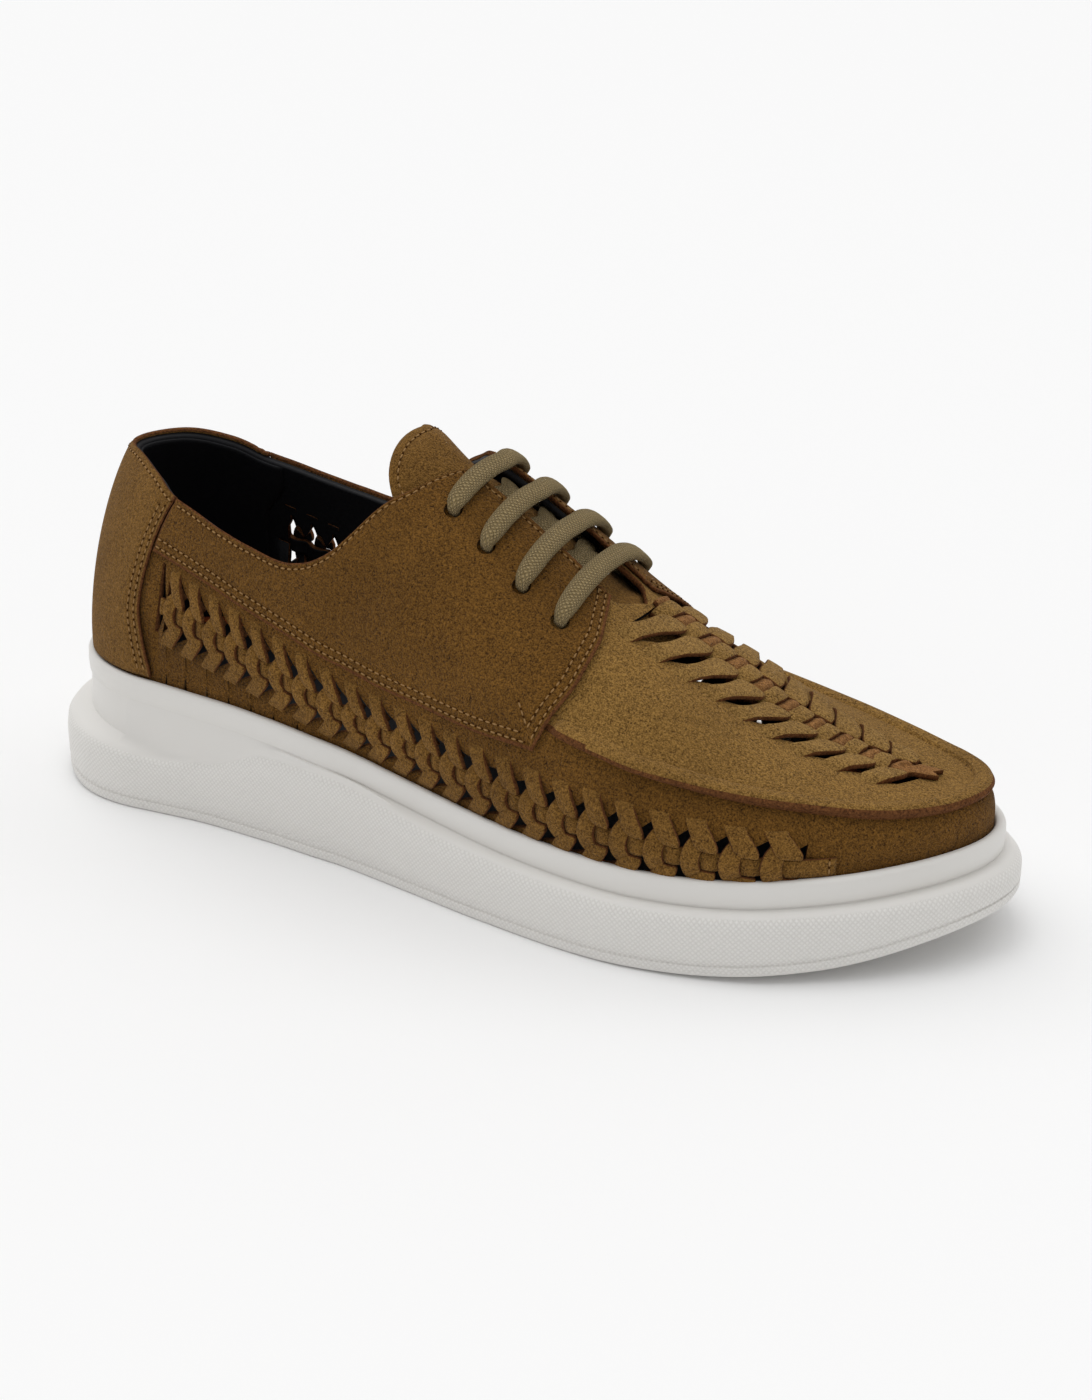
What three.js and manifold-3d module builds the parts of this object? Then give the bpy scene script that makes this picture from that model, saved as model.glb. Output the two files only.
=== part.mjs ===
// A right-foot lace-up shoe: a woven suede upper on a white cup sole.
// Millimetres. +X points to the toe, +Y to the inner side of the foot, +Z up. The origin lies under the
// middle of the sole's outline, on the plane that the sole stands on.
import * as THREE from "three";
import { mergeVertices } from "three/addons/utils/BufferGeometryUtils.js";
import Module from "manifold-3d";

const wasm = await Module();
wasm.setup();

// Driving sizes of the upper
const LENGTH = 281; // of the upper where it meets the rim of the sole, heel to toe
const BALL_WIDTH = 100; // of the same outline, across the ball of the foot
const RIDGE_HEIGHT = 119; // of the last above the floor, where it is highest
const HEEL_INSET = 24; // from the back of the upper to the end of the last's ridge
const TOE_INSET = 14; // from the tip of the upper to the other end of the ridge
const WALL = 1.9; // suede and its lining
const OVERLAY = 1.3; // a suede panel sewn on the wall
const GAP = 0.3; // clearance between pieces that lie on each other
const SEAM_GAP = 0.9; // between the edges of the counter and the quarters, along the shoe

// Driving sizes of the sole
const RIM_HEIGHT = 41; // top of the rim above the floor, at the heel
const RIM_BAND = 7.2; // height of the smooth band around the rim
const RIM_THICK = 3.2; // of the band beyond the upper
const FLARE = 12; // of the side wall beyond the upper, at most
const CUP_DEPTH = 11; // of the hollow that holds the foot, below the rim
const TOE_SPRING = 12.5; // of the tread under the tip of the toe
const TREAD_BEVEL = 0.7;
const INSOLE_THICK = 4.5;
const INSOLE_MARGIN = 0.4; // around the insole, inside the wall

// Driving sizes of the weave
const STRIP_RISE = 0.9; // of a strip over the wall
const STRIP_ROOT = 0.6; // of a strip into the wall
const STRIP_WIDTH = 3.2;
const WEFT_HALF = 2.2; // half the height of the level strip's tile
const SIDE_BOW = 2.6; // of a strip toward the toe, over half the band
const SEAM_RISE = 1.9; // of the apron's edge over the wall
const SEAM_LIP = 1.6; // width of the edge's steep side
const SEAM_FADE = 6; // width over which the apron comes down to the wall

// Driving sizes of the lacing
const LACE_WIDTH = 6.2;
const LACE_THICK = 1.7;
const LACE_NECK = 3.8; // width of the lace where it goes through an eyelet
const EYELET = 5.2; // diameter
const LACE_CLEAR = 0.65; // between the lace and what it lies on
const TONGUE_THICK = 1.8;
const TONGUE_ROUND = 0.035; // by which the corners of its top stand back, as a share of the length

const FLATNESS = 0.08; // by which a faceted face may leave its surface
const GRID = 1e-3; // to which points are rounded, so that the two sides meet on the ridge
const SIDE_STEPS = 30; // stations along each side of the shoe
const CUT_STEPS = 60; // stations along each side of the opening
const LATERAL = -1;
const MEDIAL = 1;

// The outline of the upper at the rim: half widths and the bend of its middle line, as shares of half the ball
// width, by the share of the length.
const OUTLINE = [
  { along: 0.0, half: 0.7, bend: 0.0 },
  { along: 0.1, half: 0.67, bend: -0.01 },
  { along: 0.22, half: 0.68, bend: -0.04 },
  { along: 0.36, half: 0.68, bend: -0.075 },
  { along: 0.46, half: 0.73, bend: -0.075 },
  { along: 0.56, half: 0.85, bend: -0.055 },
  { along: 0.65, half: 0.95, bend: -0.03 },
  { along: 0.73, half: 1.01, bend: -0.01 },
  { along: 0.82, half: 1.03, bend: 0.02 },
  { along: 0.9, half: 0.97, bend: 0.055 },
  { along: 1.0, half: 0.87, bend: 0.13 },
];
const ROUND_ENDS = { heel: 0.12, toe: 0.36 }; // shares of the length over which the two ends are rounded

// The sections of the last: height of the ridge, height and bulge of the lower wall, breadth of the shoulder,
// sideways place of the ridge and fullness of the inner side. The ridge is a share of RIDGE_HEIGHT, the lift a
// share of the way up from the rim, the bulge and the place shares of half the ball width, the shoulder a share
// of the way out to the rim, the fullness a share of the outer side's.
const SECTIONS = [
  { along: 0.0, crown: 0.925, lift: 0.29, belly: 0.01, shoulder: 0.66, ridge: 0.0, inner: 1.0 },
  { along: 0.15, crown: 0.95, lift: 0.42, belly: 0.03, shoulder: 0.68, ridge: 0.0, inner: 1.0 },
  { along: 0.27, crown: 0.985, lift: 0.48, belly: 0.06, shoulder: 0.68, ridge: 0.0, inner: 1.0 },
  { along: 0.37, crown: 0.995, lift: 0.52, belly: 0.07, shoulder: 0.7, ridge: 0.0, inner: 0.97 },
  { along: 0.45, crown: 0.935, lift: 0.56, belly: 0.07, shoulder: 0.7, ridge: 0.0, inner: 0.92 },
  { along: 0.545, crown: 0.82, lift: 0.58, belly: 0.07, shoulder: 0.68, ridge: -0.02, inner: 0.86 },
  { along: 0.64, crown: 0.69, lift: 0.6, belly: 0.06, shoulder: 0.65, ridge: -0.045, inner: 0.7 },
  { along: 0.69, crown: 0.63, lift: 0.62, belly: 0.05, shoulder: 0.65, ridge: -0.055, inner: 0.58 },
  { along: 0.755, crown: 0.55, lift: 0.62, belly: 0.04, shoulder: 0.68, ridge: -0.055, inner: 0.54 },
  { along: 0.815, crown: 0.475, lift: 0.64, belly: 0.03, shoulder: 0.72, ridge: -0.04, inner: 0.58 },
  { along: 0.88, crown: 0.415, lift: 0.69, belly: 0.02, shoulder: 0.79, ridge: -0.01, inner: 0.7 },
  { along: 0.945, crown: 0.375, lift: 0.77, belly: 0.02, shoulder: 0.85, ridge: 0.03, inner: 0.84 },
  { along: 1.0, crown: 0.36, lift: 0.84, belly: 0.0, shoulder: 0.89, ridge: 0.1, inner: 1.0 },
];

// The sole along its length: height of the rim and of the shoulder of the textured wall as shares of RIM_HEIGHT,
// rise of the tread as a share of TOE_SPRING, and flare of the wall as a share of FLARE.
const SOLE = [
  { along: 0.0, rim: 1.0, shoulder: 0.5, rise: 0.25, flare: 1.0 },
  { along: 0.06, rim: 0.995, shoulder: 0.48, rise: 0.03, flare: 0.9 },
  { along: 0.14, rim: 0.98, shoulder: 0.43, rise: 0.0, flare: 0.62 },
  { along: 0.22, rim: 0.965, shoulder: 0.5, rise: 0.0, flare: 0.42 },
  { along: 0.29, rim: 0.93, shoulder: 0.67, rise: 0.0, flare: 0.42 },
  { along: 0.36, rim: 0.865, shoulder: 0.66, rise: 0.0, flare: 0.52 },
  { along: 0.5, rim: 0.72, shoulder: 0.52, rise: 0.0, flare: 0.68 },
  { along: 0.62, rim: 0.655, shoulder: 0.455, rise: 0.0, flare: 0.66 },
  { along: 0.75, rim: 0.64, shoulder: 0.44, rise: 0.04, flare: 0.64 },
  { along: 0.88, rim: 0.675, shoulder: 0.475, rise: 0.27, flare: 0.64 },
  { along: 1.0, rim: 0.76, shoulder: 0.56, rise: 1.0, flare: 0.68 },
];

// The edge of the opening on either side, collar and throat, as a rise up the last.
const OPENING = [
  { along: 0.0, rise: 0.74 },
  { along: 0.026, rise: 0.735 },
  { along: 0.085, rise: 0.665 },
  { along: 0.125, rise: 0.59 },
  { along: 0.163, rise: 0.545 },
  { along: 0.208, rise: 0.49 },
  { along: 0.25, rise: 0.45 },
  { along: 0.3, rise: 0.422 },
  { along: 0.321, rise: 0.43 },
  { along: 0.345, rise: 0.463 },
  { along: 0.369, rise: 0.533 },
  { along: 0.393, rise: 0.64 },
  { along: 0.415, rise: 0.73 },
  { along: 0.431, rise: 0.83 },
  { along: 0.445, rise: 0.9 },
  { along: 0.5, rise: 0.905 },
  { along: 0.58, rise: 0.9 },
  { along: 0.63, rise: 0.89 },
  { along: 0.655, rise: 1.0 },
];

// The lower edge of the quarter, as a rise, and its front edge, by the rise.
const QUARTER_FOOT = [
  { along: 0.1, rise: 0.43 },
  { along: 0.188, rise: 0.345 },
  { along: 0.252, rise: 0.28 },
  { along: 0.312, rise: 0.235 },
  { along: 0.366, rise: 0.2 },
  { along: 0.423, rise: 0.187 },
  { along: 0.48, rise: 0.195 },
  { along: 0.537, rise: 0.21 },
  { along: 0.61, rise: 0.25 },
];
const QUARTER_FRONT = [
  { rise: 0.25, along: 0.611 },
  { rise: 0.36, along: 0.623 },
  { rise: 0.54, along: 0.641 },
  { rise: 0.69, along: 0.644 },
  { rise: 0.8, along: 0.636 },
  { rise: 0.9, along: 0.625 },
];

const INNER_AHEAD = 0.02; // of the inner quarter's front over the outer one's, as a share of the length

// The seam between counter and quarter, by the rise.
const COUNTER_SEAM = [
  { rise: -0.1, along: 0.138 },
  { rise: 0.02, along: 0.133 },
  { rise: 0.13, along: 0.124 },
  { rise: 0.24, along: 0.117 },
  { rise: 0.42, along: 0.121 },
  { rise: 0.6, along: 0.13 },
];

// The edge of the apron, as a rise.
const APRON = [
  { along: 0.6, rise: 0.34 },
  { along: 0.7, rise: 0.352 },
  { along: 0.765, rise: 0.392 },
  { along: 0.82, rise: 0.436 },
  { along: 0.87, rise: 0.468 },
  { along: 0.93, rise: 0.484 },
  { along: 0.975, rise: 0.502 },
  { along: 1.0, rise: 0.55 },
];

// The weave of the side: middle line as a rise, half height of the band in millimetres, opening of the gaps.
const SIDE_WEAVE = [
  { along: 0.13, rise: 0.262, half: 11.5, gap: 1.7 },
  { along: 0.2, rise: 0.195, half: 11, gap: 1.8 },
  { along: 0.28, rise: 0.134, half: 10.5, gap: 1.9 },
  { along: 0.363, rise: 0.088, half: 10, gap: 2.1 },
  { along: 0.42, rise: 0.076, half: 9.5, gap: 2.3 },
  { along: 0.54, rise: 0.078, half: 10, gap: 2.8 },
  { along: 0.68, rise: 0.083, half: 10.5, gap: 3.4 },
  { along: 0.785, rise: 0.08, half: 10.2, gap: 3.8 },
  { along: 0.87, rise: 0.06, half: 9.5, gap: 4.0 },
];
const SIDE_UNITS = 23;
const SIDE_START = 48.5; // first tile, from the back of the upper
const SIDE_PITCH = 7.73; // between the first tiles
const SIDE_STRETCH = 0.049; // growth of the spacing toward the toe

// The weave of the apron, along the ridge: half width, inner end of the gaps and place of the middle line toward
// the inner side in millimetres, sweep of a strip.
const APRON_WEAVE = [
  { along: 0.62, half: 25, inner: 9, middle: 5, gap: 2.1, bow: 8 },
  { along: 0.75, half: 22, inner: 9, middle: 4.3, gap: 2.5, bow: 8 },
  { along: 0.88, half: 18, inner: 8, middle: 1.5, gap: 2.7, bow: 8 },
  { along: 1.0, half: 13, inner: 6, middle: 0, gap: 2.5, bow: 7 },
];
const APRON_UNITS = 9;
const APRON_START = 191.8; // first tile, from the back of the upper
const APRON_PITCH = 7.9;

// The eyelets of either side.
const EYELETS = [
  { along: 0.46, rise: 0.735 },
  { along: 0.506, rise: 0.705 },
  { along: 0.554, rise: 0.675 },
  { along: 0.601, rise: 0.665 },
];

// The tongue: distance of its upper face off the last, and rise of its side edges.
const TONGUE = [
  { along: 0.358, off: 0.8, edge: 0.69 },
  { along: 0.378, off: -0.7, edge: 0.66 },
  { along: 0.4, off: -2.8, edge: 0.655 },
  { along: 0.42, off: -4.2, edge: 0.65 },
  { along: 0.44, off: -5, edge: 0.64 },
  { along: 0.62, off: -5, edge: 0.68 },
  { along: 0.66, off: -3.8, edge: 0.74 },
  { along: 0.7, off: -2.6, edge: 0.8 },
];

// A value of a table's column, on a smooth curve through its rows.
function column(table, key, at, by = "along") {
  const last = table.length - 1;
  let i = 0;
  while (i < last - 1 && at > table[i + 1][by]) i++;
  const slope = (k) => (table[k + 1][key] - table[k][key]) / (table[k + 1][by] - table[k][by]);
  const tangent = (k) => {
    if (k === 0) return slope(0);
    if (k === last) return slope(last - 1);
    const before = slope(k - 1);
    const after = slope(k);
    return before * after <= 0 ? 0 : (2 * before * after) / (before + after);
  };
  const span = table[i + 1][by] - table[i][by];
  const s = THREE.MathUtils.clamp((at - table[i][by]) / span, 0, 1);
  const ease = s * s * (3 - 2 * s);
  const bend = s * (1 - s) * (tangent(i) * (1 - s) - tangent(i + 1) * s);
  return THREE.MathUtils.lerp(table[i][key], table[i + 1][key], ease) + span * bend;
}

// Places around the shoe are angles: 0 at the heel, PI at the toe, the lateral side between them.
const alongAt = (angle) => (1 - Math.cos(angle)) / 2;
const lateralAngle = (along) => Math.acos(1 - 2 * THREE.MathUtils.clamp(along, 0, 1));
const angleOn = (side, along) => (side === LATERAL ? lateralAngle(along) : 2 * Math.PI - lateralAngle(along));

// Share of the half width left by the rounding of the heel and the toe.
function endRounding(along) {
  const heel = Math.max(0, 1 - along / ROUND_ENDS.heel);
  const toe = Math.max(0, 1 - (1 - along) / ROUND_ENDS.toe);
  return Math.sqrt((1 - heel * heel) * (1 - toe * toe));
}

function outlinePoint(angle) {
  const along = alongAt(angle);
  const side = Math.sin(angle) >= 0 ? LATERAL : MEDIAL;
  const half = column(OUTLINE, "half", along) * endRounding(along);
  const across = column(OUTLINE, "bend", along) + side * half;
  return new THREE.Vector2(along * LENGTH, (across * BALL_WIDTH) / 2);
}

// The outline moved outwards by a distance, at a height.
function rimPoint(angle, outward, height) {
  const step = 1e-3;
  const here = outlinePoint(angle);
  const ahead = outlinePoint(angle + step).sub(outlinePoint(angle - step)).normalize();
  return new THREE.Vector3(here.x + ahead.y * outward, here.y - ahead.x * outward, height);
}

const rimHeight = (along) => RIM_HEIGHT * column(SOLE, "rim", along);

// A point of the last at a share of the way up from the rim to the ridge. A negative rise goes straight down from
// the rim, in millimetres.
function lastPoint(angle, rise) {
  const along = alongAt(angle);
  const foot = rimPoint(angle, 0, rimHeight(along));
  if (rise <= 0) return foot.setZ(foot.z + rise);
  const ridgeX = HEEL_INSET + along * (LENGTH - HEEL_INSET - TOE_INSET);
  const ridgeY = (column(SECTIONS, "ridge", along) * BALL_WIDTH) / 2;
  const top = new THREE.Vector3(ridgeX, ridgeY, column(SECTIONS, "crown", along) * RIDGE_HEIGHT);
  const bulge = (column(SECTIONS, "belly", along) * BALL_WIDTH) / 2;
  const full = THREE.MathUtils.lerp(1, column(SECTIONS, "inner", along), Math.max(0, -Math.sin(angle)));
  const lift = column(SECTIONS, "lift", along) * full;
  const wall = rimPoint(angle, bulge, THREE.MathUtils.lerp(foot.z, top.z, lift));
  const breadth = column(SECTIONS, "shoulder", along) * full;
  const shoulder = new THREE.Vector3().lerpVectors(top, foot, breadth).setZ(top.z);
  return new THREE.CubicBezierCurve3(foot, wall, shoulder, top).getPoint(rise);
}

// The outward normal of the last. On the ridge it is the mean of the two sides.
function lastNormal(angle, rise) {
  const step = 1e-3;
  if (rise <= 0) return rimPoint(angle, 1, 0).sub(rimPoint(angle, 0, 0));
  const r = Math.min(rise, 1 - 4 * step);
  const oneSide = (a) => {
    const around = lastPoint(a + step, r).sub(lastPoint(a - step, r));
    const upward = lastPoint(a, r + step).sub(lastPoint(a, r - step));
    return around.cross(upward).normalize();
  };
  const normal = oneSide(angle);
  return rise < 1 ? normal : normal.add(oneSide(2 * Math.PI - angle)).normalize();
}

// A point at a distance off the last, outwards.
const offLast = (angle, rise, out) => lastPoint(angle, rise).addScaledVector(lastNormal(angle, rise), out);

// A place some millimetres up or down the wall from another one.
function climb(angle, rise, distance) {
  const step = 0.02;
  const scale = lastPoint(angle, rise + step).distanceTo(lastPoint(angle, rise)) / step;
  const reached = rise + distance / scale;
  return reached < 0 ? reached * scale : reached;
}

// The direction along the last towards the toe.
function toeward(angle, rise) {
  const step = Math.sin(angle) >= 0 ? 1e-3 : -1e-3;
  return lastPoint(angle + step, Math.min(rise, 0.99)).sub(lastPoint(angle, Math.min(rise, 0.99))).normalize();
}

// A closed surface as a solid that can be cut and joined, turned to face outwards.
function solid(points, faces) {
  let volume = 0;
  for (let i = 0; i < faces.length; i += 3) {
    const [a, b, c] = [points[faces[i]], points[faces[i + 1]], points[faces[i + 2]]];
    volume += a.dot(b.clone().cross(c));
  }
  const snapped = points.map((p) => p.clone().divideScalar(GRID).round().multiplyScalar(GRID));
  const geometry = new THREE.BufferGeometry().setFromPoints(snapped);
  geometry.setIndex(volume < 0 ? [...faces].reverse() : faces);
  const merged = mergeVertices(geometry, GRID / 10);
  const index = merged.index.array;
  const kept = [];
  for (let i = 0; i < index.length; i += 3) {
    const [a, b, c] = [index[i], index[i + 1], index[i + 2]];
    if (a !== b && b !== c && c !== a) kept.push(a, b, c);
  }
  const vertProperties = merged.attributes.position.array;
  return new wasm.Manifold(new wasm.Mesh({ numProp: 3, vertProperties, triVerts: new Uint32Array(kept) }));
}

// Joins a stack of rings into a solid. Each ring has as many points on the lateral side as on the medial one, and
// the end rings are closed by strips from one side to the other.
function loft(rings) {
  const around = rings[0].length;
  const faces = [];
  for (let r = 0; r < rings.length - 1; r++)
    for (let i = 0; i < around; i++) {
      const j = (i + 1) % around;
      const low = r * around;
      const high = low + around;
      faces.push(low + i, low + j, high + j, low + i, high + j, high + i);
    }
  for (const [base, up] of [[0, false], [(rings.length - 1) * around, true]])
    for (let i = 0; i < around / 2; i++) {
      const [a, b] = [base + i, base + i + 1];
      const [c, d] = [base + ((around - i - 1) % around), base + ((around - i) % around)];
      faces.push(...(up ? [a, b, c, a, c, d] : [a, c, b, a, d, c]));
    }
  return solid(rings.flat(), faces);
}

// A solid between two faces made by the same grid of points.
function slab(columns, rows, under, over) {
  const points = [];
  for (const face of [under, over])
    for (let v = 0; v <= rows; v++)
      for (let u = 0; u <= columns; u++) points.push(face(u / columns, v / rows));
  const wide = columns + 1;
  const layer = wide * (rows + 1);
  const faces = [];
  for (let v = 0; v < rows; v++)
    for (let u = 0; u < columns; u++) {
      const [a, b, c, d] = [v * wide + u, v * wide + u + 1, (v + 1) * wide + u + 1, (v + 1) * wide + u];
      faces.push(a, c, b, a, d, c);
      faces.push(layer + a, layer + b, layer + c, layer + a, layer + c, layer + d);
    }
  const edge = [];
  for (let u = 0; u < columns; u++) edge.push(u);
  for (let v = 0; v < rows; v++) edge.push(v * wide + columns);
  for (let u = columns; u > 0; u--) edge.push(rows * wide + u);
  for (let v = rows; v > 0; v--) edge.push(v * wide);
  edge.forEach((a, i) => {
    const b = edge[(i + 1) % edge.length];
    faces.push(a, b, layer + b, a, layer + b, layer + a);
  });
  return solid(points, faces);
}

// A slab on the last. The place function gives the angle and the rise of a point of the grid.
function panel(columns, rows, place, low, high) {
  const face = (out) => (u, v) => {
    const { angle, rise } = place(u, v);
    return offLast(angle, rise, typeof out === "function" ? out(u, v) : out);
  };
  return slab(columns, rows, face(low), face(high));
}

// A prism through the wall over a closed row of places.
function prism(places, low, high) {
  const count = places.length;
  const points = [low, high].flatMap((out) => places.map(({ angle, rise }) => offLast(angle, rise, out)));
  const faces = [];
  for (let i = 0; i < count; i++) {
    const j = (i + 1) % count;
    faces.push(i, j, count + j, i, count + j, count + i);
    if (i > 0 && i < count - 1) faces.push(0, i + 1, i, count, count + i, count + i + 1);
  }
  return solid(points, faces);
}

const stationAngles = (steps) => Array.from({ length: 2 * steps }, (_, i) => (i * Math.PI) / steps);
const sides = stationAngles(SIDE_STEPS);
const WALL_RISES = [0, 0.12, 0.25, 0.38, 0.5, 0.6, 0.7, 0.8, 0.9, 1];

// The last as a solid, grown or shrunk by a distance, down to a depth below the rim.
const lastSolid = (out, depth) =>
  loft([-depth, ...WALL_RISES].map((rise) => sides.map((angle) => offLast(angle, rise, out))));

// All that lies above the edge of the collar and the throat.
function openingSolid(inside, outside) {
  const angles = stationAngles(CUT_STEPS);
  const riseAt = (angle) => Math.min(1, column(OPENING, "rise", alongAt(angle)));
  const ring = (out) => angles.map((angle) => offLast(angle, riseAt(angle), out));
  const lid = ring(outside).map((p) => p.clone().setZ(RIDGE_HEIGHT + 30));
  return loft([ring(-inside), ring(outside), lid]);
}

// The cup sole: rings from the tread up the outside, over the rim and down into the cup.
function soleSolid() {
  const ring = (outward, height) =>
    sides.map((angle) => rimPoint(angle, outward(alongAt(angle)), height(alongAt(angle))));
  const ground = (along) => TOE_SPRING * column(SOLE, "rise", along);
  const shoulder = (along) => RIM_HEIGHT * column(SOLE, "shoulder", along);
  const flare = (along) => FLARE * column(SOLE, "flare", along);
  const band = (along) => rimHeight(along) - RIM_BAND;
  return loft([
    ring((a) => flare(a) - TREAD_BEVEL, ground),
    ring(flare, (a) => ground(a) + TREAD_BEVEL),
    ring(flare, (a) => THREE.MathUtils.lerp(ground(a), shoulder(a), 0.3)),
    ring((a) => flare(a) - 0.2, (a) => THREE.MathUtils.lerp(ground(a), shoulder(a), 0.7)),
    ring((a) => Math.max(flare(a) - 1.6, RIM_THICK + 0.5), (a) => shoulder(a) - 0.6),
    ring(() => RIM_THICK + 0.25, (a) => Math.min(shoulder(a) + 1.6, band(a) - 0.4)),
    ring(() => RIM_THICK - 0.4, (a) => band(a) - 0.2),
    ring(() => RIM_THICK, (a) => band(a) + 0.8),
    ring(() => RIM_THICK, (a) => rimHeight(a) - 0.9),
    ring(() => RIM_THICK - 0.9, rimHeight),
    ring(() => GAP, rimHeight),
    ring(() => GAP, (a) => rimHeight(a) - CUP_DEPTH),
  ]);
}

// The foot bed on the floor of the cup.
function insoleSolid() {
  const level = (lift) =>
    sides.map((angle) => rimPoint(angle, -WALL - INSOLE_MARGIN, rimHeight(alongAt(angle)) - CUP_DEPTH + lift));
  return loft([level(GAP), level(GAP + INSOLE_THICK)]);
}

// A place in the weave of one side: units along the band and millimetres up from its middle line.
function sidePlace(side, unit, up) {
  const along = (SIDE_START + SIDE_PITCH * unit + SIDE_STRETCH * unit * unit) / LENGTH;
  const angle = angleOn(side, along);
  return { angle, rise: climb(angle, column(SIDE_WEAVE, "rise", along), up) };
}

const apronAlong = (unit) => (APRON_START + APRON_PITCH * unit - HEEL_INSET) / (LENGTH - HEEL_INSET - TOE_INSET);

// A place in the weave of the apron: units along the ridge and millimetres across from the middle line of the
// weave, lateral side negative.
function apronPlace(unit, off) {
  const along = apronAlong(unit);
  const across = off + column(APRON_WEAVE, "middle", along);
  const angle = angleOn(across < 0 ? LATERAL : MEDIAL, along);
  const below = lastPoint(angle, 0.96);
  const scale = lastPoint(angle, 1).distanceTo(below) / 0.04;
  return { angle, rise: 1 - Math.min(0.9, Math.abs(across) / scale) };
}

// The gaps and the raised strips of a band. Each strip bows toward the toe at the middle line, and the gaps lie
// between the strips, on both sides of the level strip.
function weave(units, place, sizeAt) {
  const cuts = [];
  const strips = [];
  for (let unit = 0; unit <= units; unit++) {
    const { half, inner, gap, bow, pitch } = sizeAt(unit);
    const spot = (shift, up) => place(unit + (shift - bow * (up / half) ** 2) / pitch, up);
    const tip = half * 0.92;
    const waist = THREE.MathUtils.lerp(inner, tip, 0.42);
    const hole = [[0, inner], [gap / 2, waist], [0.2, tip], [-gap / 2, waist]];
    for (const sense of [-1, 1])
      cuts.push(prism(hole.map(([x, y]) => spot(x - pitch / 2, y * sense)), -WALL - 2, STRIP_RISE + 2));
    if (unit === units) continue;
    const strip = (u, v) => spot((u - 0.5) * STRIP_WIDTH, (2 * v - 1) * half);
    strips.push(panel(1, 4, strip, -STRIP_ROOT, (u, v) => (v === 0 || v === 1 ? 0.1 : STRIP_RISE)));
  }
  return { cuts, strips };
}

function sideWeave(side) {
  const sizeAt = (unit) => {
    const along = (SIDE_START + SIDE_PITCH * unit + SIDE_STRETCH * unit * unit) / LENGTH;
    const [half, gap] = ["half", "gap"].map((key) => column(SIDE_WEAVE, key, along));
    return { half, gap, inner: WEFT_HALF + 0.5, bow: SIDE_BOW, pitch: SIDE_PITCH + 2 * SIDE_STRETCH * unit };
  };
  return weave(SIDE_UNITS, (unit, up) => sidePlace(side, unit, up), sizeAt);
}

function apronWeave() {
  const sizeAt = (unit) => {
    const along = apronAlong(unit);
    const [half, inner, gap, bow] = ["half", "inner", "gap", "bow"].map((key) => column(APRON_WEAVE, key, along));
    return { half, inner, gap, bow, pitch: APRON_PITCH };
  };
  return weave(APRON_UNITS, apronPlace, sizeAt);
}

// The raised edge of the apron, from one quarter around the toe to the other.
function apronEdge() {
  const columns = 48;
  const start = lateralAngle(0.6);
  const place = (u, v) => {
    const angle = THREE.MathUtils.lerp(start, 2 * Math.PI - start, u);
    const distance = [-SEAM_LIP, 0, SEAM_FADE][Math.round(v * 2)];
    return { angle, rise: climb(angle, column(APRON, "rise", alongAt(angle)), distance) };
  };
  const height = (u, v) => [-0.1, SEAM_RISE, 0.05][Math.round(v * 2)];
  return panel(columns, 2, place, -STRIP_ROOT - 0.2, height);
}

// The collar and throat edge under a panel's top, a little below the cut so that both edges show.
const panelTop = (along) => Math.min(1, column(OPENING, "rise", along)) - 0.004;

// A sewn panel: the part of the shell between two grown lasts that lies over a region.
const sewn = (region) => overlayShell.intersect(region);

// The region of a quarter, grown by a distance at its foot and its front.
function quarterRegion(side, grow = 0) {
  const ahead = grow / LENGTH + (side === MEDIAL ? INNER_AHEAD : 0);
  const foot = (along) => climb(angleOn(side, along), column(QUARTER_FOOT, "rise", along), -grow);
  const top = (along) => panelTop(Math.min(along, 0.63));
  const back = (rise) => column(COUNTER_SEAM, "along", rise, "rise") + (SEAM_GAP - grow) / LENGTH;
  const front = (rise) => column(QUARTER_FRONT, "along", rise, "rise") + ahead;
  const place = (u, v) => {
    const near = THREE.MathUtils.lerp(back(0.5), front(0.6), u);
    const rise = THREE.MathUtils.lerp(foot(near), top(near), v);
    const along = THREE.MathUtils.lerp(back(rise), front(rise), u);
    return { angle: angleOn(side, along), rise: THREE.MathUtils.lerp(foot(along), top(along), v) };
  };
  return panel(36, 6, place, -1, 4);
}

// The region of the counter, grown by a distance at its seams.
function counterRegion(grow = 0) {
  const seam = (rise) => lateralAngle(column(COUNTER_SEAM, "along", rise, "rise") + grow / LENGTH);
  const place = (u, v) => {
    const angle = (2 * u - 1) * seam(v * 0.6);
    return { angle, rise: THREE.MathUtils.lerp(0.012, panelTop(alongAt(angle)), v) };
  };
  return panel(16, 6, place, -1, 4);
}

function eyeletHole(side, { along, rise }) {
  const angle = angleOn(side, along);
  const centre = lastPoint(angle, rise);
  const normal = lastNormal(angle, rise);
  const turn = new THREE.Quaternion().setFromUnitVectors(new THREE.Vector3(0, 0, 1), normal);
  const ring = (height) =>
    Array.from({ length: 16 }, (_, i) => {
      const a = (i * Math.PI) / 8;
      const spoke = new THREE.Vector3(Math.cos(a), Math.sin(a), 0).multiplyScalar(EYELET / 2).setZ(height);
      return spoke.applyQuaternion(turn).add(centre);
    });
  return loft([ring(-6), ring(6)]);
}

function tongueSolid() {
  const [from, to] = [TONGUE[0].along, TONGUE.at(-1).along];
  const place = (u, v) => {
    const across = 2 * v - 1;
    const along = THREE.MathUtils.lerp(from, to, u) + TONGUE_ROUND * across ** 2 * (1 - u) ** 6;
    const edge = column(TONGUE, "edge", along);
    return { along, angle: angleOn(across < 0 ? LATERAL : MEDIAL, along), rise: 1 - Math.abs(across) * (1 - edge) };
  };
  const off = (u, v) => column(TONGUE, "off", place(u, v).along);
  return panel(14, 8, place, (u, v) => off(u, v) - TONGUE_THICK, off);
}

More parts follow.
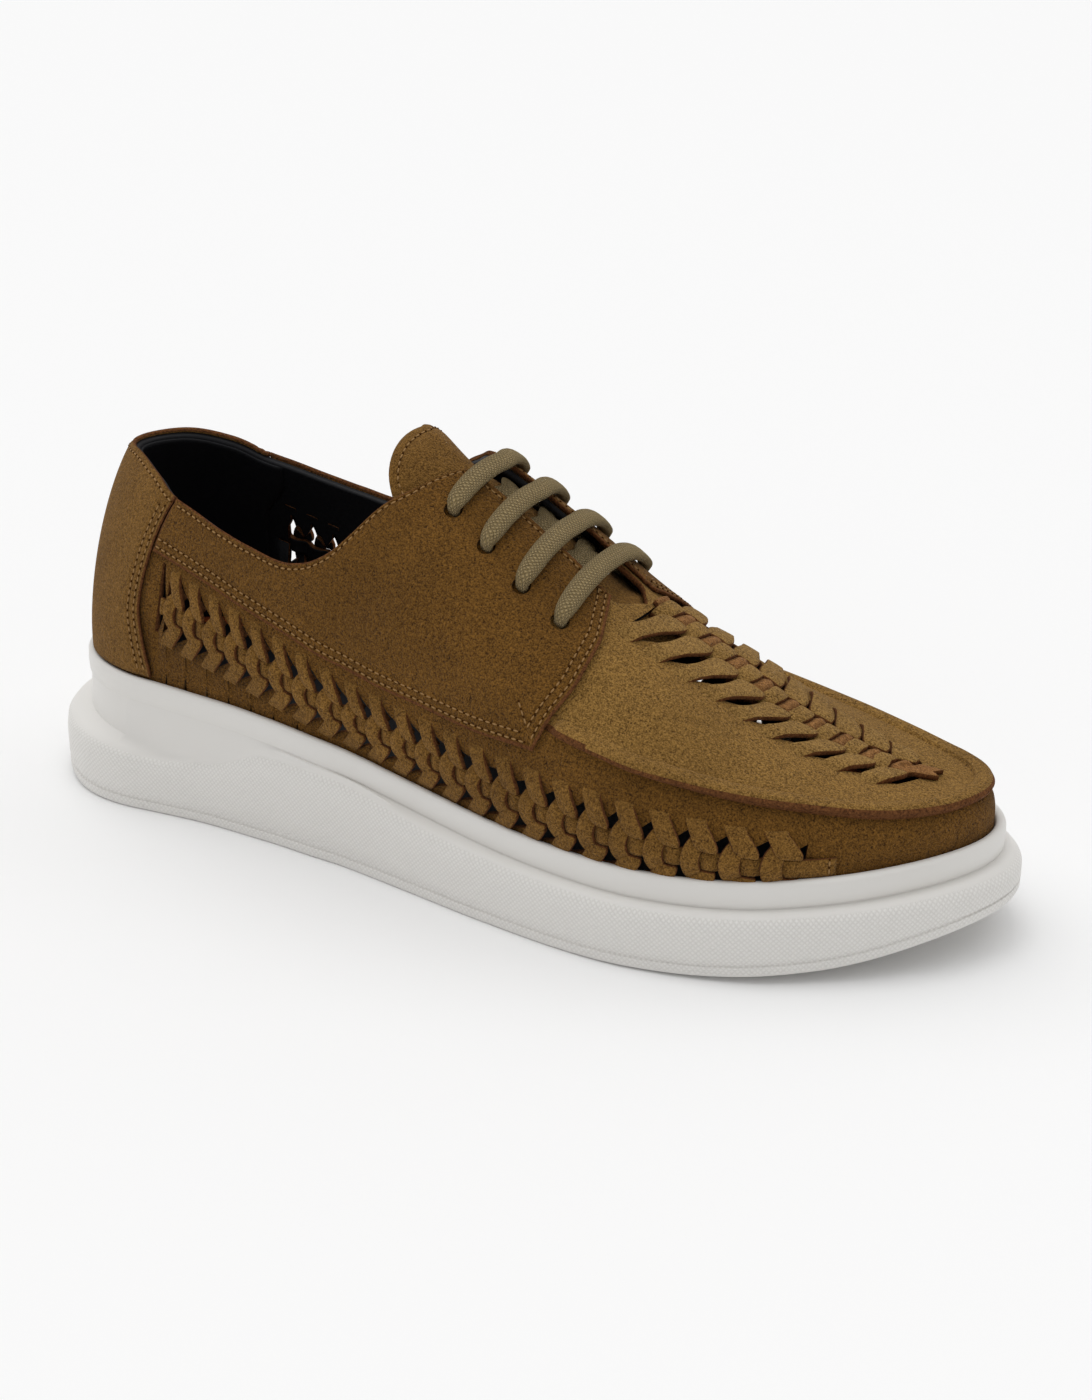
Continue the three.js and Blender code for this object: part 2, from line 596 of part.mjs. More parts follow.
// A flat lace along a row of stops, each with a centre, a width and a direction across its width.
function laceSolid(stops) {
  const rings = stops.map(({ centre, wide, broad, thick }, i) => {
    const before = stops[Math.max(0, i - 1)].centre;
    const after = stops[Math.min(stops.length - 1, i + 1)].centre;
    const ahead = after.clone().sub(before).normalize();
    const side = broad.clone().addScaledVector(ahead, -broad.dot(ahead)).normalize();
    const up = ahead.clone().cross(side);
    const [w, t] = [wide / 2, thick / 2];
    const outline = [[w, 0], [w * 0.7, t], [-w * 0.7, t], [-w, 0], [-w * 0.7, -t], [w * 0.7, -t]];
    return outline.map(([x, y]) => centre.clone().addScaledVector(side, x).addScaledVector(up, y));
  });
  return loft(rings);
}

const overPanel = GAP + OVERLAY + LACE_CLEAR + LACE_THICK / 2;
const underWall = -WALL - LACE_CLEAR - LACE_THICK / 2;

// A stop of a lace, flat to the last at a distance off it.
function laceStop(angle, rise, out, wide) {
  return { centre: offLast(angle, rise, out), wide, thick: LACE_THICK, broad: toeward(angle, rise) };
}

// A bar over the throat: up through one eyelet, across, and down through the other.
function laceBar({ along, rise }) {
  const half = (side) => {
    const at = (share, out, wide) => laceStop(angleOn(side, along), rise + share * (1 - rise), out, wide);
    return [
      at(0, underWall - 0.2, LACE_NECK),
      at(0, underWall + 1.4, LACE_NECK),
      at(0.01, overPanel - 1.3, LACE_NECK),
      at(0.07, overPanel, LACE_NECK + 1.4),
      at(0.2, overPanel, LACE_WIDTH),
      ...[0.36, 0.52, 0.68, 0.84].map((share) => at(share, overPanel, LACE_WIDTH)),
    ];
  };
  const middle = laceStop(lateralAngle(along), 1, overPanel, LACE_WIDTH);
  return laceSolid([...half(LATERAL), middle, ...half(MEDIAL).reverse()]);
}

// A crossing under the quarters, from one eyelet to the next one on the other side.
function laceCrossing(side, from, to) {
  const steps = 14;
  const stops = Array.from({ length: steps + 1 }, (_, i) => {
    const s = i / steps;
    const along = THREE.MathUtils.lerp(from.along, to.along, s);
    const depth = s < 0.5 ? 1 - from.rise : 1 - to.rise;
    const rise = 1 - depth * Math.abs(1 - 2 * s);
    const wide = THREE.MathUtils.lerp(LACE_NECK, LACE_WIDTH - 1.5, Math.min(1, 6 * s * (1 - s)));
    return laceStop(angleOn(s < 0.5 ? side : -side, along), rise, underWall, wide);
  });
  return laceSolid(stops);
}

function lacing() {
  const pieces = EYELETS.map(laceBar);
  for (let i = 0; i < EYELETS.length - 1; i++)
    for (const side of [LATERAL, MEDIAL]) pieces.push(laceCrossing(side, EYELETS[i], EYELETS[i + 1]));
  return wasm.Manifold.union(pieces);
}

function mesh(name, made, material) {
  const { numProp, vertProperties, triVerts, numVert } = made.asOriginal().simplify(FLATNESS).getMesh();
  const positions = new Float32Array(numVert * 3);
  for (let i = 0; i < numVert; i++) positions.set(vertProperties.subarray(i * numProp, i * numProp + 3), i * 3);
  const geometry = new THREE.BufferGeometry();
  geometry.setAttribute("position", new THREE.BufferAttribute(positions, 3));
  geometry.setIndex(new THREE.BufferAttribute(new Uint32Array(triVerts), 1));
  geometry.computeVertexNormals();
  const piece = new THREE.Mesh(geometry, material);
  piece.name = name;
  return piece;
}

const suede = new THREE.MeshStandardMaterial({ color: 0x7a5526, roughness: 0.95 });
const rubber = new THREE.MeshStandardMaterial({ color: 0xe8e6e2, roughness: 0.5 });
const footbed = new THREE.MeshStandardMaterial({ color: 0xa04a24, roughness: 0.8 });
const braid = new THREE.MeshStandardMaterial({ color: 0x8c7b55, roughness: 0.9 });

const sunk = CUP_DEPTH - GAP;
const opening = openingSolid(9, 8);
const eyelets = [LATERAL, MEDIAL].flatMap((side) => EYELETS.map((eyelet) => eyeletHole(side, eyelet)));
const overlayShell = lastSolid(GAP + OVERLAY, 0).subtract(lastSolid(GAP, 1));
const bands = [sideWeave(LATERAL), sideWeave(MEDIAL), apronWeave()];
const sunkPart = loft(
  [-30, 2 * GAP].map((lift) => sides.map((angle) => rimPoint(angle, 5, rimHeight(alongAt(angle)) + lift))),
);
const covered = [quarterRegion(LATERAL, GAP), quarterRegion(MEDIAL, GAP), counterRegion(GAP), sunkPart];

const relief = wasm.Manifold.union([...bands.flatMap((band) => band.strips), apronEdge()]);
const wall = lastSolid(0, sunk).subtract(lastSolid(-WALL, sunk + 1));
const upper = wall
  .add(relief.subtract(wasm.Manifold.union(covered)))
  .subtract(wasm.Manifold.union([opening, ...eyelets, ...bands.flatMap((band) => band.cuts)]));

const holes = wasm.Manifold.union(eyelets);
const shoe = new THREE.Group();
shoe.add(mesh("sole", soleSolid(), rubber));
shoe.add(mesh("insole", insoleSolid(), footbed));
shoe.add(mesh("upper", upper, suede));
shoe.add(mesh("quarter_lateral", sewn(quarterRegion(LATERAL)).subtract(holes), suede));
shoe.add(mesh("quarter_medial", sewn(quarterRegion(MEDIAL)).subtract(holes), suede));
shoe.add(mesh("heel_counter", sewn(counterRegion()), suede));
shoe.add(mesh("tongue", tongueSolid(), suede));
shoe.add(mesh("laces", lacing(), braid));

const plan = new THREE.Box3().setFromObject(shoe.children[0]);
const middle = plan.getCenter(new THREE.Vector3());
shoe.position.set(-middle.x, -middle.y, -plan.min.z);
export default shoe;
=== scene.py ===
import math

import bpy
import numpy as np
from mathutils import Matrix, Vector
from mathutils.kdtree import KDTree


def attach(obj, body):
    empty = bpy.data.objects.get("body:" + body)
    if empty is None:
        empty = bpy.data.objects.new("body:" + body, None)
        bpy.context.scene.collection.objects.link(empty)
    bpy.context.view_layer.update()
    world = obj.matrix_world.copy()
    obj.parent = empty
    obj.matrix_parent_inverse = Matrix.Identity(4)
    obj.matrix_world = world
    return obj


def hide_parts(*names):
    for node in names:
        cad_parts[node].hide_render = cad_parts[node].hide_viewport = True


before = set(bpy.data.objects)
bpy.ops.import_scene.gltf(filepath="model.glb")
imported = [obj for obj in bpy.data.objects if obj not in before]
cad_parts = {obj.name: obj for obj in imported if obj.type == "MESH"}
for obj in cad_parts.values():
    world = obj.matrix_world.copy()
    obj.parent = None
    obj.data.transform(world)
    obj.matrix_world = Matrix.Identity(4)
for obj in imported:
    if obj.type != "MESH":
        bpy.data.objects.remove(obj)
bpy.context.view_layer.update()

MM = 0.001
LATERAL, MEDIAL = -1, 1
SIDES = ((LATERAL, "lateral"), (MEDIAL, "medial"))

# Sizes of the last and the sole, in millimetres, as the solids have them
LENGTH = 281
BALL_WIDTH = 100
RIDGE_HEIGHT = 119
HEEL_INSET = 24
TOE_INSET = 14
RIM_HEIGHT = 41
RIM_BAND = 7.2
RIM_THICK = 3.2
FLARE = 12
CUP_DEPTH = 11
TOE_SPRING = 12.5
WALL = 1.9
OVERLAY = 1.3
GAP = 0.3
RIDGE_LENGTH = LENGTH - HEEL_INSET - TOE_INSET

# Sizes of the weave
SIDE_UNITS, SIDE_START, SIDE_PITCH, SIDE_STRETCH = 23, 48.5, 7.73, 0.049
APRON_UNITS, APRON_START, APRON_PITCH = 9, 191.8, 7.9


def table(heads, *rows):
    """Named columns of numbers, one row for each place along the shoe."""
    return {head: np.array(values, float) for head, values in zip(heads.split(), zip(*rows))}


OUTLINE = table(
    "along half bend",
    (0.0, 0.7, 0.0), (0.1, 0.67, -0.01), (0.22, 0.68, -0.04), (0.36, 0.68, -0.075),
    (0.46, 0.73, -0.075), (0.56, 0.85, -0.055), (0.65, 0.95, -0.03), (0.73, 1.01, -0.01),
    (0.82, 1.03, 0.02), (0.9, 0.97, 0.055), (1.0, 0.87, 0.13),
)
ROUND_HEEL, ROUND_TOE = 0.12, 0.36
SECTIONS = table(
    "along crown lift belly shoulder ridge inner",
    (0.0, 0.925, 0.29, 0.01, 0.66, 0.0, 1.0),
    (0.15, 0.95, 0.42, 0.03, 0.68, 0.0, 1.0),
    (0.27, 0.985, 0.48, 0.06, 0.68, 0.0, 1.0),
    (0.37, 0.995, 0.52, 0.07, 0.7, 0.0, 0.97),
    (0.45, 0.935, 0.56, 0.07, 0.7, 0.0, 0.92),
    (0.545, 0.82, 0.58, 0.07, 0.68, -0.02, 0.86),
    (0.64, 0.69, 0.6, 0.06, 0.65, -0.045, 0.7),
    (0.69, 0.63, 0.62, 0.05, 0.65, -0.055, 0.58),
    (0.755, 0.55, 0.62, 0.04, 0.68, -0.055, 0.54),
    (0.815, 0.475, 0.64, 0.03, 0.72, -0.04, 0.58),
    (0.88, 0.415, 0.69, 0.02, 0.79, -0.01, 0.7),
    (0.945, 0.375, 0.77, 0.02, 0.85, 0.03, 0.84),
    (1.0, 0.36, 0.84, 0.0, 0.89, 0.1, 1.0),
)
SOLE = table(
    "along rim shoulder rise flare",
    (0.0, 1.0, 0.5, 0.25, 1.0), (0.06, 0.995, 0.48, 0.03, 0.9), (0.14, 0.98, 0.43, 0.0, 0.62),
    (0.22, 0.965, 0.5, 0.0, 0.42), (0.29, 0.93, 0.67, 0.0, 0.42), (0.36, 0.865, 0.66, 0.0, 0.52),
    (0.5, 0.72, 0.52, 0.0, 0.68), (0.62, 0.655, 0.455, 0.0, 0.66), (0.75, 0.64, 0.44, 0.04, 0.64),
    (0.88, 0.675, 0.475, 0.27, 0.64), (1.0, 0.76, 0.56, 1.0, 0.68),
)
OPENING = table(
    "along rise",
    (0.0, 0.74), (0.026, 0.735), (0.085, 0.665), (0.125, 0.59), (0.163, 0.545), (0.208, 0.49),
    (0.25, 0.45), (0.3, 0.422), (0.321, 0.43), (0.345, 0.463), (0.369, 0.533), (0.393, 0.64),
    (0.415, 0.73), (0.431, 0.83), (0.445, 0.9), (0.5, 0.905), (0.58, 0.9), (0.63, 0.89), (0.655, 1.0),
)
QUARTER_FOOT = table(
    "along rise",
    (0.1, 0.43), (0.188, 0.345), (0.252, 0.28), (0.312, 0.235), (0.366, 0.2), (0.423, 0.187),
    (0.48, 0.195), (0.537, 0.21), (0.61, 0.25),
)
QUARTER_FRONT = table(
    "rise along", (0.25, 0.611), (0.36, 0.623), (0.54, 0.641), (0.69, 0.644), (0.8, 0.636), (0.9, 0.625)
)
INNER_AHEAD = 0.02
COUNTER_SEAM = table(
    "rise along", (-0.1, 0.138), (0.02, 0.133), (0.13, 0.124), (0.24, 0.117), (0.42, 0.121), (0.6, 0.13)
)
SEAM_GAP = 0.9
APRON = table(
    "along rise",
    (0.6, 0.34), (0.7, 0.352), (0.765, 0.392), (0.82, 0.436), (0.87, 0.468), (0.93, 0.484),
    (0.975, 0.502), (1.0, 0.55),
)
SIDE_WEAVE = table(
    "along rise half",
    (0.13, 0.262, 11.5), (0.2, 0.195, 11), (0.28, 0.134, 10.5), (0.363, 0.088, 10), (0.42, 0.076, 9.5),
    (0.54, 0.078, 10), (0.68, 0.083, 10.5), (0.785, 0.08, 10.2), (0.87, 0.06, 9.5),
)
APRON_WEAVE = table(
    "along half middle slope bend",
    (0.62, 25, 5, 0.5, 10), (0.75, 22, 4.3, 0.54, 9), (0.88, 18, 1.5, 0.72, 5.5), (1.0, 13, 0, 0.8, 5),
)
EYELETS = ((0.46, 0.735), (0.506, 0.705), (0.554, 0.675), (0.601, 0.665))
TONGUE = table(
    "along off edge",
    (0.358, 0.8, 0.69), (0.378, -0.7, 0.66), (0.4, -2.8, 0.655), (0.42, -4.2, 0.65), (0.44, -5, 0.64),
    (0.62, -4.6, 0.68), (0.645, -2.7, 0.72), (0.7, -2.1, 0.8),
)


def column(of, key, at, by="along"):
    """A value of a table's column, on a smooth curve through its rows."""
    x, y = of[by], of[key]
    slope = np.diff(y) / np.diff(x)
    before, after = slope[:-1], slope[1:]
    level = before * after <= 0
    inner = np.where(level, 0, 2 * before * after / np.where(level, 1, before + after))
    tangent = np.concatenate(([slope[0]], inner, [slope[-1]]))
    i = np.clip(np.searchsorted(x, at) - 1, 0, len(x) - 2)
    span = x[i + 1] - x[i]
    s = np.clip((at - x[i]) / span, 0, 1)
    ease = s * s * (3 - 2 * s)
    bend = s * (1 - s) * (tangent[i] * (1 - s) - tangent[i + 1] * s)
    return y[i] + (y[i + 1] - y[i]) * ease + span * bend


def lerp(a, b, t):
    return a + (b - a) * t


def smooth(low, high, x):
    s = np.clip((x - low) / (high - low), 0, 1)
    return s * s * (3 - 2 * s)


def unit(vectors):
    return vectors / np.maximum(np.linalg.norm(vectors, axis=-1, keepdims=True), 1e-12)


# The last: an angle around the shoe, 0 at the heel and pi at the toe with the lateral side between them, and
# a rise from the rim (0) to the ridge (1). Under the rim a negative rise is a depth in millimetres.
def along_at(angle):
    return (1 - np.cos(angle)) / 2


def lateral_angle(along):
    return np.arccos(1 - 2 * np.clip(along, 0, 1))


def angle_on(side, along):
    angle = lateral_angle(along)
    return np.where(np.asarray(side) < 0, angle, 2 * math.pi - angle)


def outline_point(angle):
    along = along_at(angle)
    side = np.where(np.sin(angle) >= 0, LATERAL, MEDIAL)
    heel = np.maximum(0, 1 - along / ROUND_HEEL)
    toe = np.maximum(0, 1 - (1 - along) / ROUND_TOE)
    half = column(OUTLINE, "half", along) * np.sqrt((1 - heel * heel) * (1 - toe * toe))
    across = column(OUTLINE, "bend", along) + side * half
    return np.stack((along * LENGTH, across * BALL_WIDTH / 2), axis=-1)


def rim_point(angle, outward, height):
    angle, outward, height = np.broadcast_arrays(*(np.asarray(a, float) for a in (angle, outward, height)))
    here = outline_point(angle)
    ahead = unit(outline_point(angle + 1e-3) - outline_point(angle - 1e-3))
    x = here[..., 0] + ahead[..., 1] * outward
    y = here[..., 1] - ahead[..., 0] * outward
    return np.stack((x, y, height), axis=-1)


def rim_height(along):
    return RIM_HEIGHT * column(SOLE, "rim", along)


def last_point(angle, rise):
    angle, rise = np.broadcast_arrays(np.asarray(angle, float), np.asarray(rise, float))
    along = along_at(angle)
    foot = rim_point(angle, 0, rim_height(along))
    ridge_x = HEEL_INSET + along * RIDGE_LENGTH
    ridge_y = column(SECTIONS, "ridge", along) * BALL_WIDTH / 2
    top = np.stack((ridge_x, ridge_y, column(SECTIONS, "crown", along) * RIDGE_HEIGHT), axis=-1)
    full = lerp(1, column(SECTIONS, "inner", along), np.maximum(0, -np.sin(angle)))
    lift = column(SECTIONS, "lift", along) * full
    bulge = column(SECTIONS, "belly", along) * BALL_WIDTH / 2
    wall = rim_point(angle, bulge, lerp(foot[..., 2], top[..., 2], lift))
    breadth = (column(SECTIONS, "shoulder", along) * full)[..., None]
    shoulder = lerp(top, foot, breadth)
    shoulder[..., 2] = top[..., 2]
    t = np.clip(rise, 0, 1)[..., None]
    s = 1 - t
    point = s**3 * foot + 3 * s * s * t * wall + 3 * s * t * t * shoulder + t**3 * top
    point[..., 2] += np.minimum(rise, 0)
    return point


def last_normal(angle, rise):
    step = 1e-3
    angle, rise = np.broadcast_arrays(np.asarray(angle, float), np.asarray(rise, float))
    r = np.clip(rise, step, 1 - 4 * step)

    def one_side(a):
        around = last_point(a + step, r) - last_point(a - step, r)
        upward = last_point(a, r + step) - last_point(a, r - step)
        return unit(np.cross(around, upward))

    normal = one_side(angle)
    both = unit(normal + one_side(2 * math.pi - angle))
    normal = lerp(normal, both, smooth(0.97, 1.0, rise)[..., None])
    level = rim_point(angle, 1, 0) - rim_point(angle, 0, 0)
    return unit(lerp(level, normal, smooth(-3, 0.03, rise)[..., None]))


# Soft creases and ridges: where along the shoe and how far up they run, how wide they are,
# and how deep (below 0) or high they are.
CREASES = (
    # side, along and rise of one end, along and rise of the other, width, height
    (LATERAL, 0.66, 0.5, 0.72, 0.92, 5.0, -0.5),
    (LATERAL, 0.69, 0.45, 0.745, 0.8, 5.0, 0.35),
    (MEDIAL, 0.67, 0.5, 0.73, 0.92, 5.0, -0.5),
    (LATERAL, 0.36, 0.3, 0.43, 0.5, 7.0, -0.6),
    (LATERAL, 0.41, 0.27, 0.47, 0.46, 7.0, 0.45),
    (LATERAL, 0.53, 0.35, 0.58, 0.6, 8.0, -0.45),
    (MEDIAL, 0.37, 0.3, 0.44, 0.5, 7.0, -0.6),
    (MEDIAL, 0.5, 0.35, 0.56, 0.6, 8.0, -0.45),
    (LATERAL, 0.05, 0.2, 0.1, 0.5, 6.0, -0.4),
    (MEDIAL, 0.05, 0.2, 0.1, 0.5, 6.0, -0.4),
    (LATERAL, 0.9, 0.15, 0.96, 0.35, 6.0, -0.35),
    (MEDIAL, 0.9, 0.15, 0.96, 0.35, 6.0, -0.35),
)


def worn(points, angle):
    """How far the creases move the suede outwards, in millimetres."""
    total = np.zeros(points.shape[:-1])
    lateral = np.sin(angle) >= 0
    for side, along_a, rise_a, along_b, rise_b, width, height in CREASES:
        a = last_point(angle_on(side, along_a), rise_a)
        b = last_point(angle_on(side, along_b), rise_b)
        line = b - a
        share = np.clip(((points - a) @ line) / (line @ line), 0, 1)
        away = np.linalg.norm(points - (a + share[..., None] * line), axis=-1)
        fade = np.sin(math.pi * np.clip(share, 0.08, 0.92))
        total += np.where(lateral == (side < 0), height * fade * np.exp(-((away / width) ** 2)), 0)
    return total


def off_last(angle, rise, out):
    """Points at a distance off the last, outwards, in millimetres."""
    point = last_point(angle, rise)
    lift = np.asarray(out, float) + worn(point, np.broadcast_to(angle, point.shape[:-1]))
    return point + last_normal(angle, rise) * lift[..., None]


def climb(angle, rise, distance):
    """The rise of a place some millimetres up or down the wall from another one."""
    step = 0.02
    low = np.maximum(rise, 0)
    scale = np.linalg.norm(last_point(angle, low + step) - last_point(angle, low), axis=-1) / step
    reached = rise + distance / scale
    return np.where(reached < 0, reached * scale, reached)


def descend(angle, start, rise):
    """The distance in millimetres that climb would need from one rise to another."""
    step = 0.02
    low = np.maximum(start, 0)
    scale = np.linalg.norm(last_point(angle, low + step) - last_point(angle, low), axis=-1) / step
    return (np.where(rise < 0, rise / scale, rise) - start) * scale


def panel_top(along):
    """The rise at which the sewn panels end, just under the opening's edge."""
    return np.minimum(1, column(OPENING, "rise", along)) - 0.004


around_sole = np.arange(60) * math.pi / 30
flared = rim_point(around_sole, FLARE * column(SOLE, "flare", along_at(around_sole)), 0)
MIDDLE = (flared.min(axis=0) + flared.max(axis=0)) / 2
MIDDLE[2] = 0


def metres(points):
    """From millimetres on the last to the frame that the solids share."""
    return (points - MIDDLE) * MM


# Materials
class Value:
    """A socket whose sums and products with numbers and other sockets add Math nodes."""

    def __init__(self, finish, socket):
        self.finish, self.socket = finish, socket

    def math(self, operation, *values):
        return self.finish.add("Math", dict(enumerate(values)), operation=operation)

    def __add__(self, other):
        return self.math("ADD", self, other)

    def __sub__(self, other):
        return self.math("SUBTRACT", self, other)

    def __mul__(self, other):
        return self.math("MULTIPLY", self, other)

    def __abs__(self):
        return self.math("ABSOLUTE", self)

    def sine(self):
        return self.math("SINE", self)

    def power(self, exponent):
        return self.math("POWER", self, exponent)


class Finish:
    """A material. add() makes any node from its type, the values or links of its sockets and its settings."""

    def __init__(self, name, **shader):
        self.material = bpy.data.materials.new(name)
        self.material.use_nodes = True
        self.tree = self.material.node_tree
        self.shader = self.tree.nodes["Principled BSDF"]
        for socket, value in shader.items():
            self.shader.inputs[socket.replace("_", " ")].default_value = value

    def add(self, kind, sockets=None, output=0, **settings):
        node = self.tree.nodes.new("ShaderNode" + kind)
        for setting, value in settings.items():
            setattr(node, setting, value)
        for socket, value in (sockets or {}).items():
            self.set(node.inputs[socket], value)
        return Value(self, node.outputs[output])

    def set(self, socket, value):
        if isinstance(value, Value):
            self.tree.links.new(value.socket, socket)
        else:
            socket.default_value = value

    def place(self, kind="Object"):
        return self.add("TexCoord", output=kind)

    def noise(self, scale, detail=2.0, roughness=0.5, at=None):
        sockets = {"Scale": scale, "Detail": detail, "Roughness": roughness, "Vector": at or self.place()}
        return self.add("TexNoise", sockets)

    def along_pattern(self):
        """The two directions of the mesh's own UV map, in millimetres."""
        parts = self.add("SeparateXYZ", {"Vector": self.place("UV")})
        return parts, Value(self, parts.socket.node.outputs["Y"])

    def mix(self, share, one, other):
        """Two colours mixed. A Mix node has its colours at sockets 6 and 7 and its result at output 2."""
        return self.add("Mix", {0: share, 6: one, 7: other}, output=2, data_type="RGBA")

    def ramp(self, value, low, high):
        """A value brought from low..high to 0..1."""
        sockets = {"Value": value, "From Min": low, "From Max": high}
        return self.add("MapRange", sockets, clamp=True)

    def finish(self, color=None, roughness=None, height=None, depth=0.0, strength=1.0):
        if color is not None:
            self.set(self.shader.inputs["Base Color"], color)
        if roughness is not None:
            self.set(self.shader.inputs["Roughness"], roughness)
        if height is not None:
            sockets = {"Height": height, "Distance": depth, "Strength": strength}
            self.set(self.shader.inputs["Normal"], self.add("Bump", sockets, output="Normal"))
        return self.material


def rgb(code):
    """A linear colour from the six digits of a display colour."""
    parts = (int(code[i:i + 2], 16) / 255 for i in (0, 2, 4))
    return tuple(c / 12.92 if c <= 0.04045 else ((c + 0.055) / 1.055) ** 2.4 for c in parts) + (1.0,)


def napped(name, dark, light, shaded):
    """Suede: fibres of a few tenths of a millimetre, brushed patches and a soft sheen."""
    cloth = Finish(name, Specular_IOR_Level=0.08, Sheen_Weight=0.05, Sheen_Roughness=0.5)
    fibres = cloth.noise(2300, 2, 0.6)
    tufts = cloth.noise(1100, 2, 0.6)
    brushed = cloth.noise(75, 3, 0.55)
    soiled = cloth.noise(24, 2, 0.5)
    tone = cloth.ramp(fibres, 0.34, 0.66) * 0.6 + cloth.ramp(tufts, 0.34, 0.66) * 0.3
    tone = tone + cloth.ramp(brushed, 0.3, 0.7) * 0.1
    color = cloth.mix(tone, rgb(dark), rgb(light))
    color = cloth.mix(cloth.ramp(soiled, 0.42, 0.7) * 0.3, color, rgb(shaded))
    return cloth.finish(color, cloth.ramp(fibres, 0.2, 0.8) * -0.1 + 0.98, fibres + tufts, 0.0008, 0.9)


def cut_suede():
    """The cut edge of suede: redder and darker, rough along the cut."""
    cut = Finish("cut_edge", Specular_IOR_Level=0.15)
    fibres = cut.noise(1500, 3, 0.7)
    color = cut.mix(cut.ramp(fibres, 0.3, 0.7), rgb("3A200E"), rgb("80522E"))
    return cut.finish(color, 0.95, fibres, 0.0006, 0.7)


def lining():
    inside = Finish("black_lining", Specular_IOR_Level=0.22)
    grain = inside.noise(1400, 2, 0.6)
    color = inside.mix(grain, rgb("0C0C0E"), rgb("1D1D21"))
    return inside.finish(color, grain * 0.2 + 0.5, grain, 0.0003, 0.4)


def footbed():
    bed = Finish("rust_footbed", Specular_IOR_Level=0.3)
    grain = bed.noise(900, 3, 0.6)
    color = bed.mix(bed.ramp(grain, 0.3, 0.7), rgb("9A431F"), rgb("C9622F"))
    return bed.finish(color, 0.75, grain, 0.0003, 0.4)


LATTICE_PITCH, YARN_PITCH = 2.9, 2.3


def diamonds(finish, pitch):
    """Diamonds over the UV map, parted by slanted lines both ways: 0 on the lines, 1 in their middles."""
    lengthwise, crosswise = finish.along_pattern()
    turn = 2 * math.pi / pitch
    return abs(((lengthwise + crosswise) * turn).sine()) * abs(((lengthwise - crosswise) * turn).sine())


def rubber(name, textured):
    """White rubber. The side wall has a fine lattice of raised diamonds, laid by the mesh's own UV map, with
    painted shade along the lines between them.
    """
    white = Finish(name, Specular_IOR_Level=0.4, Coat_Weight=0.05, Coat_Roughness=0.4)
    cloud = white.noise(30, 2, 0.5)
    color = white.mix(cloud, rgb("E3E0DB"), rgb("EAE8E4"))
    skin = white.noise(2500, 2, 0.5) * 0.06
    if not textured:
        return white.finish(color, cloud * 0.06 + 0.42, skin, 0.0004, 0.5)
    raised = diamonds(white, LATTICE_PITCH).power(0.7)
    # The diamonds' middles are painted lighter and their lines darker: painted shade in the grooves of one
    # white rubber.
    color = white.mix(raised * 0.8 + 0.1, rgb("E0DDD8"), rgb("F1EFEB"))
    return white.finish(color, cloud * 0.06 + 0.5, raised + skin, 0.0004, 0.4)


def braid():
    """A flat woven lace: slanted yarns both ways by the UV map, and a soft fuzz."""
    lace = Finish("lace_braid", Specular_IOR_Level=0.1, Sheen_Weight=0.08, Sheen_Roughness=0.6)
    yarns = diamonds(lace, YARN_PITCH)
    fuzz = lace.noise(2600, 3, 0.7)
    tone = yarns * 0.5 + lace.ramp(fuzz, 0.25, 0.75) * 0.5
    color = lace.mix(tone, rgb("66532A"), rgb("DCC08A"))
    return lace.finish(color, 0.95, yarns * 1.5 + fuzz, 0.0007, 1.0)


# The needle hole: a dark brown dot beside each stitch, painted shade in the hole.
def needle_hole():
    hole = Finish("needle_hole", Roughness=1.0, Specular_IOR_Level=0.0)
    return hole.finish(hole.mix(hole.noise(900), rgb("3A220C"), rgb("4A2F15")))


def sewing_thread():
    thread = Finish("thread", Specular_IOR_Level=0.3)
    strands = thread.noise(3000, 2, 0.6)
    color = thread.mix(strands, rgb("7C5A30"), rgb("B38B57"))
    return thread.finish(color, 0.7, strands, 0.0002, 0.5)


# Lit and shaded copies of one suede. The copies for the wall, the quarters and the side straps are darker, as
# painted shade on the sides. The copies for the apron and its straps are lighter, as painted light on top.
# The heel copy lies between them.
SHADED_SIDE_SUEDE = napped("suede_side_shaded", "2A1603", "986B2E", "3F270A")
HEEL_SUEDE = napped("suede_heel", "4A2F0E", "A57A3D", "573A16")
LIT_TOP_SUEDE = napped("suede_top_lit", "3F2709", "BC904C", "5C3F18")
SHADED_SIDE_STRAP = napped("suede_strap_shaded", "3B220A", "AC7F3E", "503514")
LIT_TOP_STRAP = napped("suede_top_strap", "432A0B", "C09654", "5F421A")
WEFT = napped("suede_weft", "50300F", "BE8850", "64401C")
EDGE = cut_suede()
LINING = lining()
FOOTBED = footbed()
RUBBER = rubber("white_rubber", False)
LATTICE = rubber("white_rubber_lattice", True)
BRAID = braid()
THREAD = sewing_thread()
NEEDLE = needle_hole()


# Cutting and sewing
def start_clean():
    bpy.ops.object.select_all(action="DESELECT")


def pick(piece):
    """Selects one piece alone and makes it the active one."""
    start_clean()
    piece.select_set(True)
    bpy.context.view_layer.objects.active = piece


def modify(piece, kind, **settings):
    """Adds a modifier, sets it and applies it."""
    bpy.context.view_layer.objects.active = piece
    modifier = piece.modifiers.new(kind.title(), kind)
    for setting, value in settings.items():
        setattr(modifier, setting, value)
    bpy.ops.object.modifier_apply(modifier=modifier.name)


def points_of(piece):
    co = np.empty(len(piece.data.vertices) * 3)
    piece.data.vertices.foreach_get("co", co)
    return co.reshape(-1, 3)


def move_points(piece, points):
    piece.data.vertices.foreach_set("co", np.ascontiguousarray(points, float).ravel())
    piece.data.update()


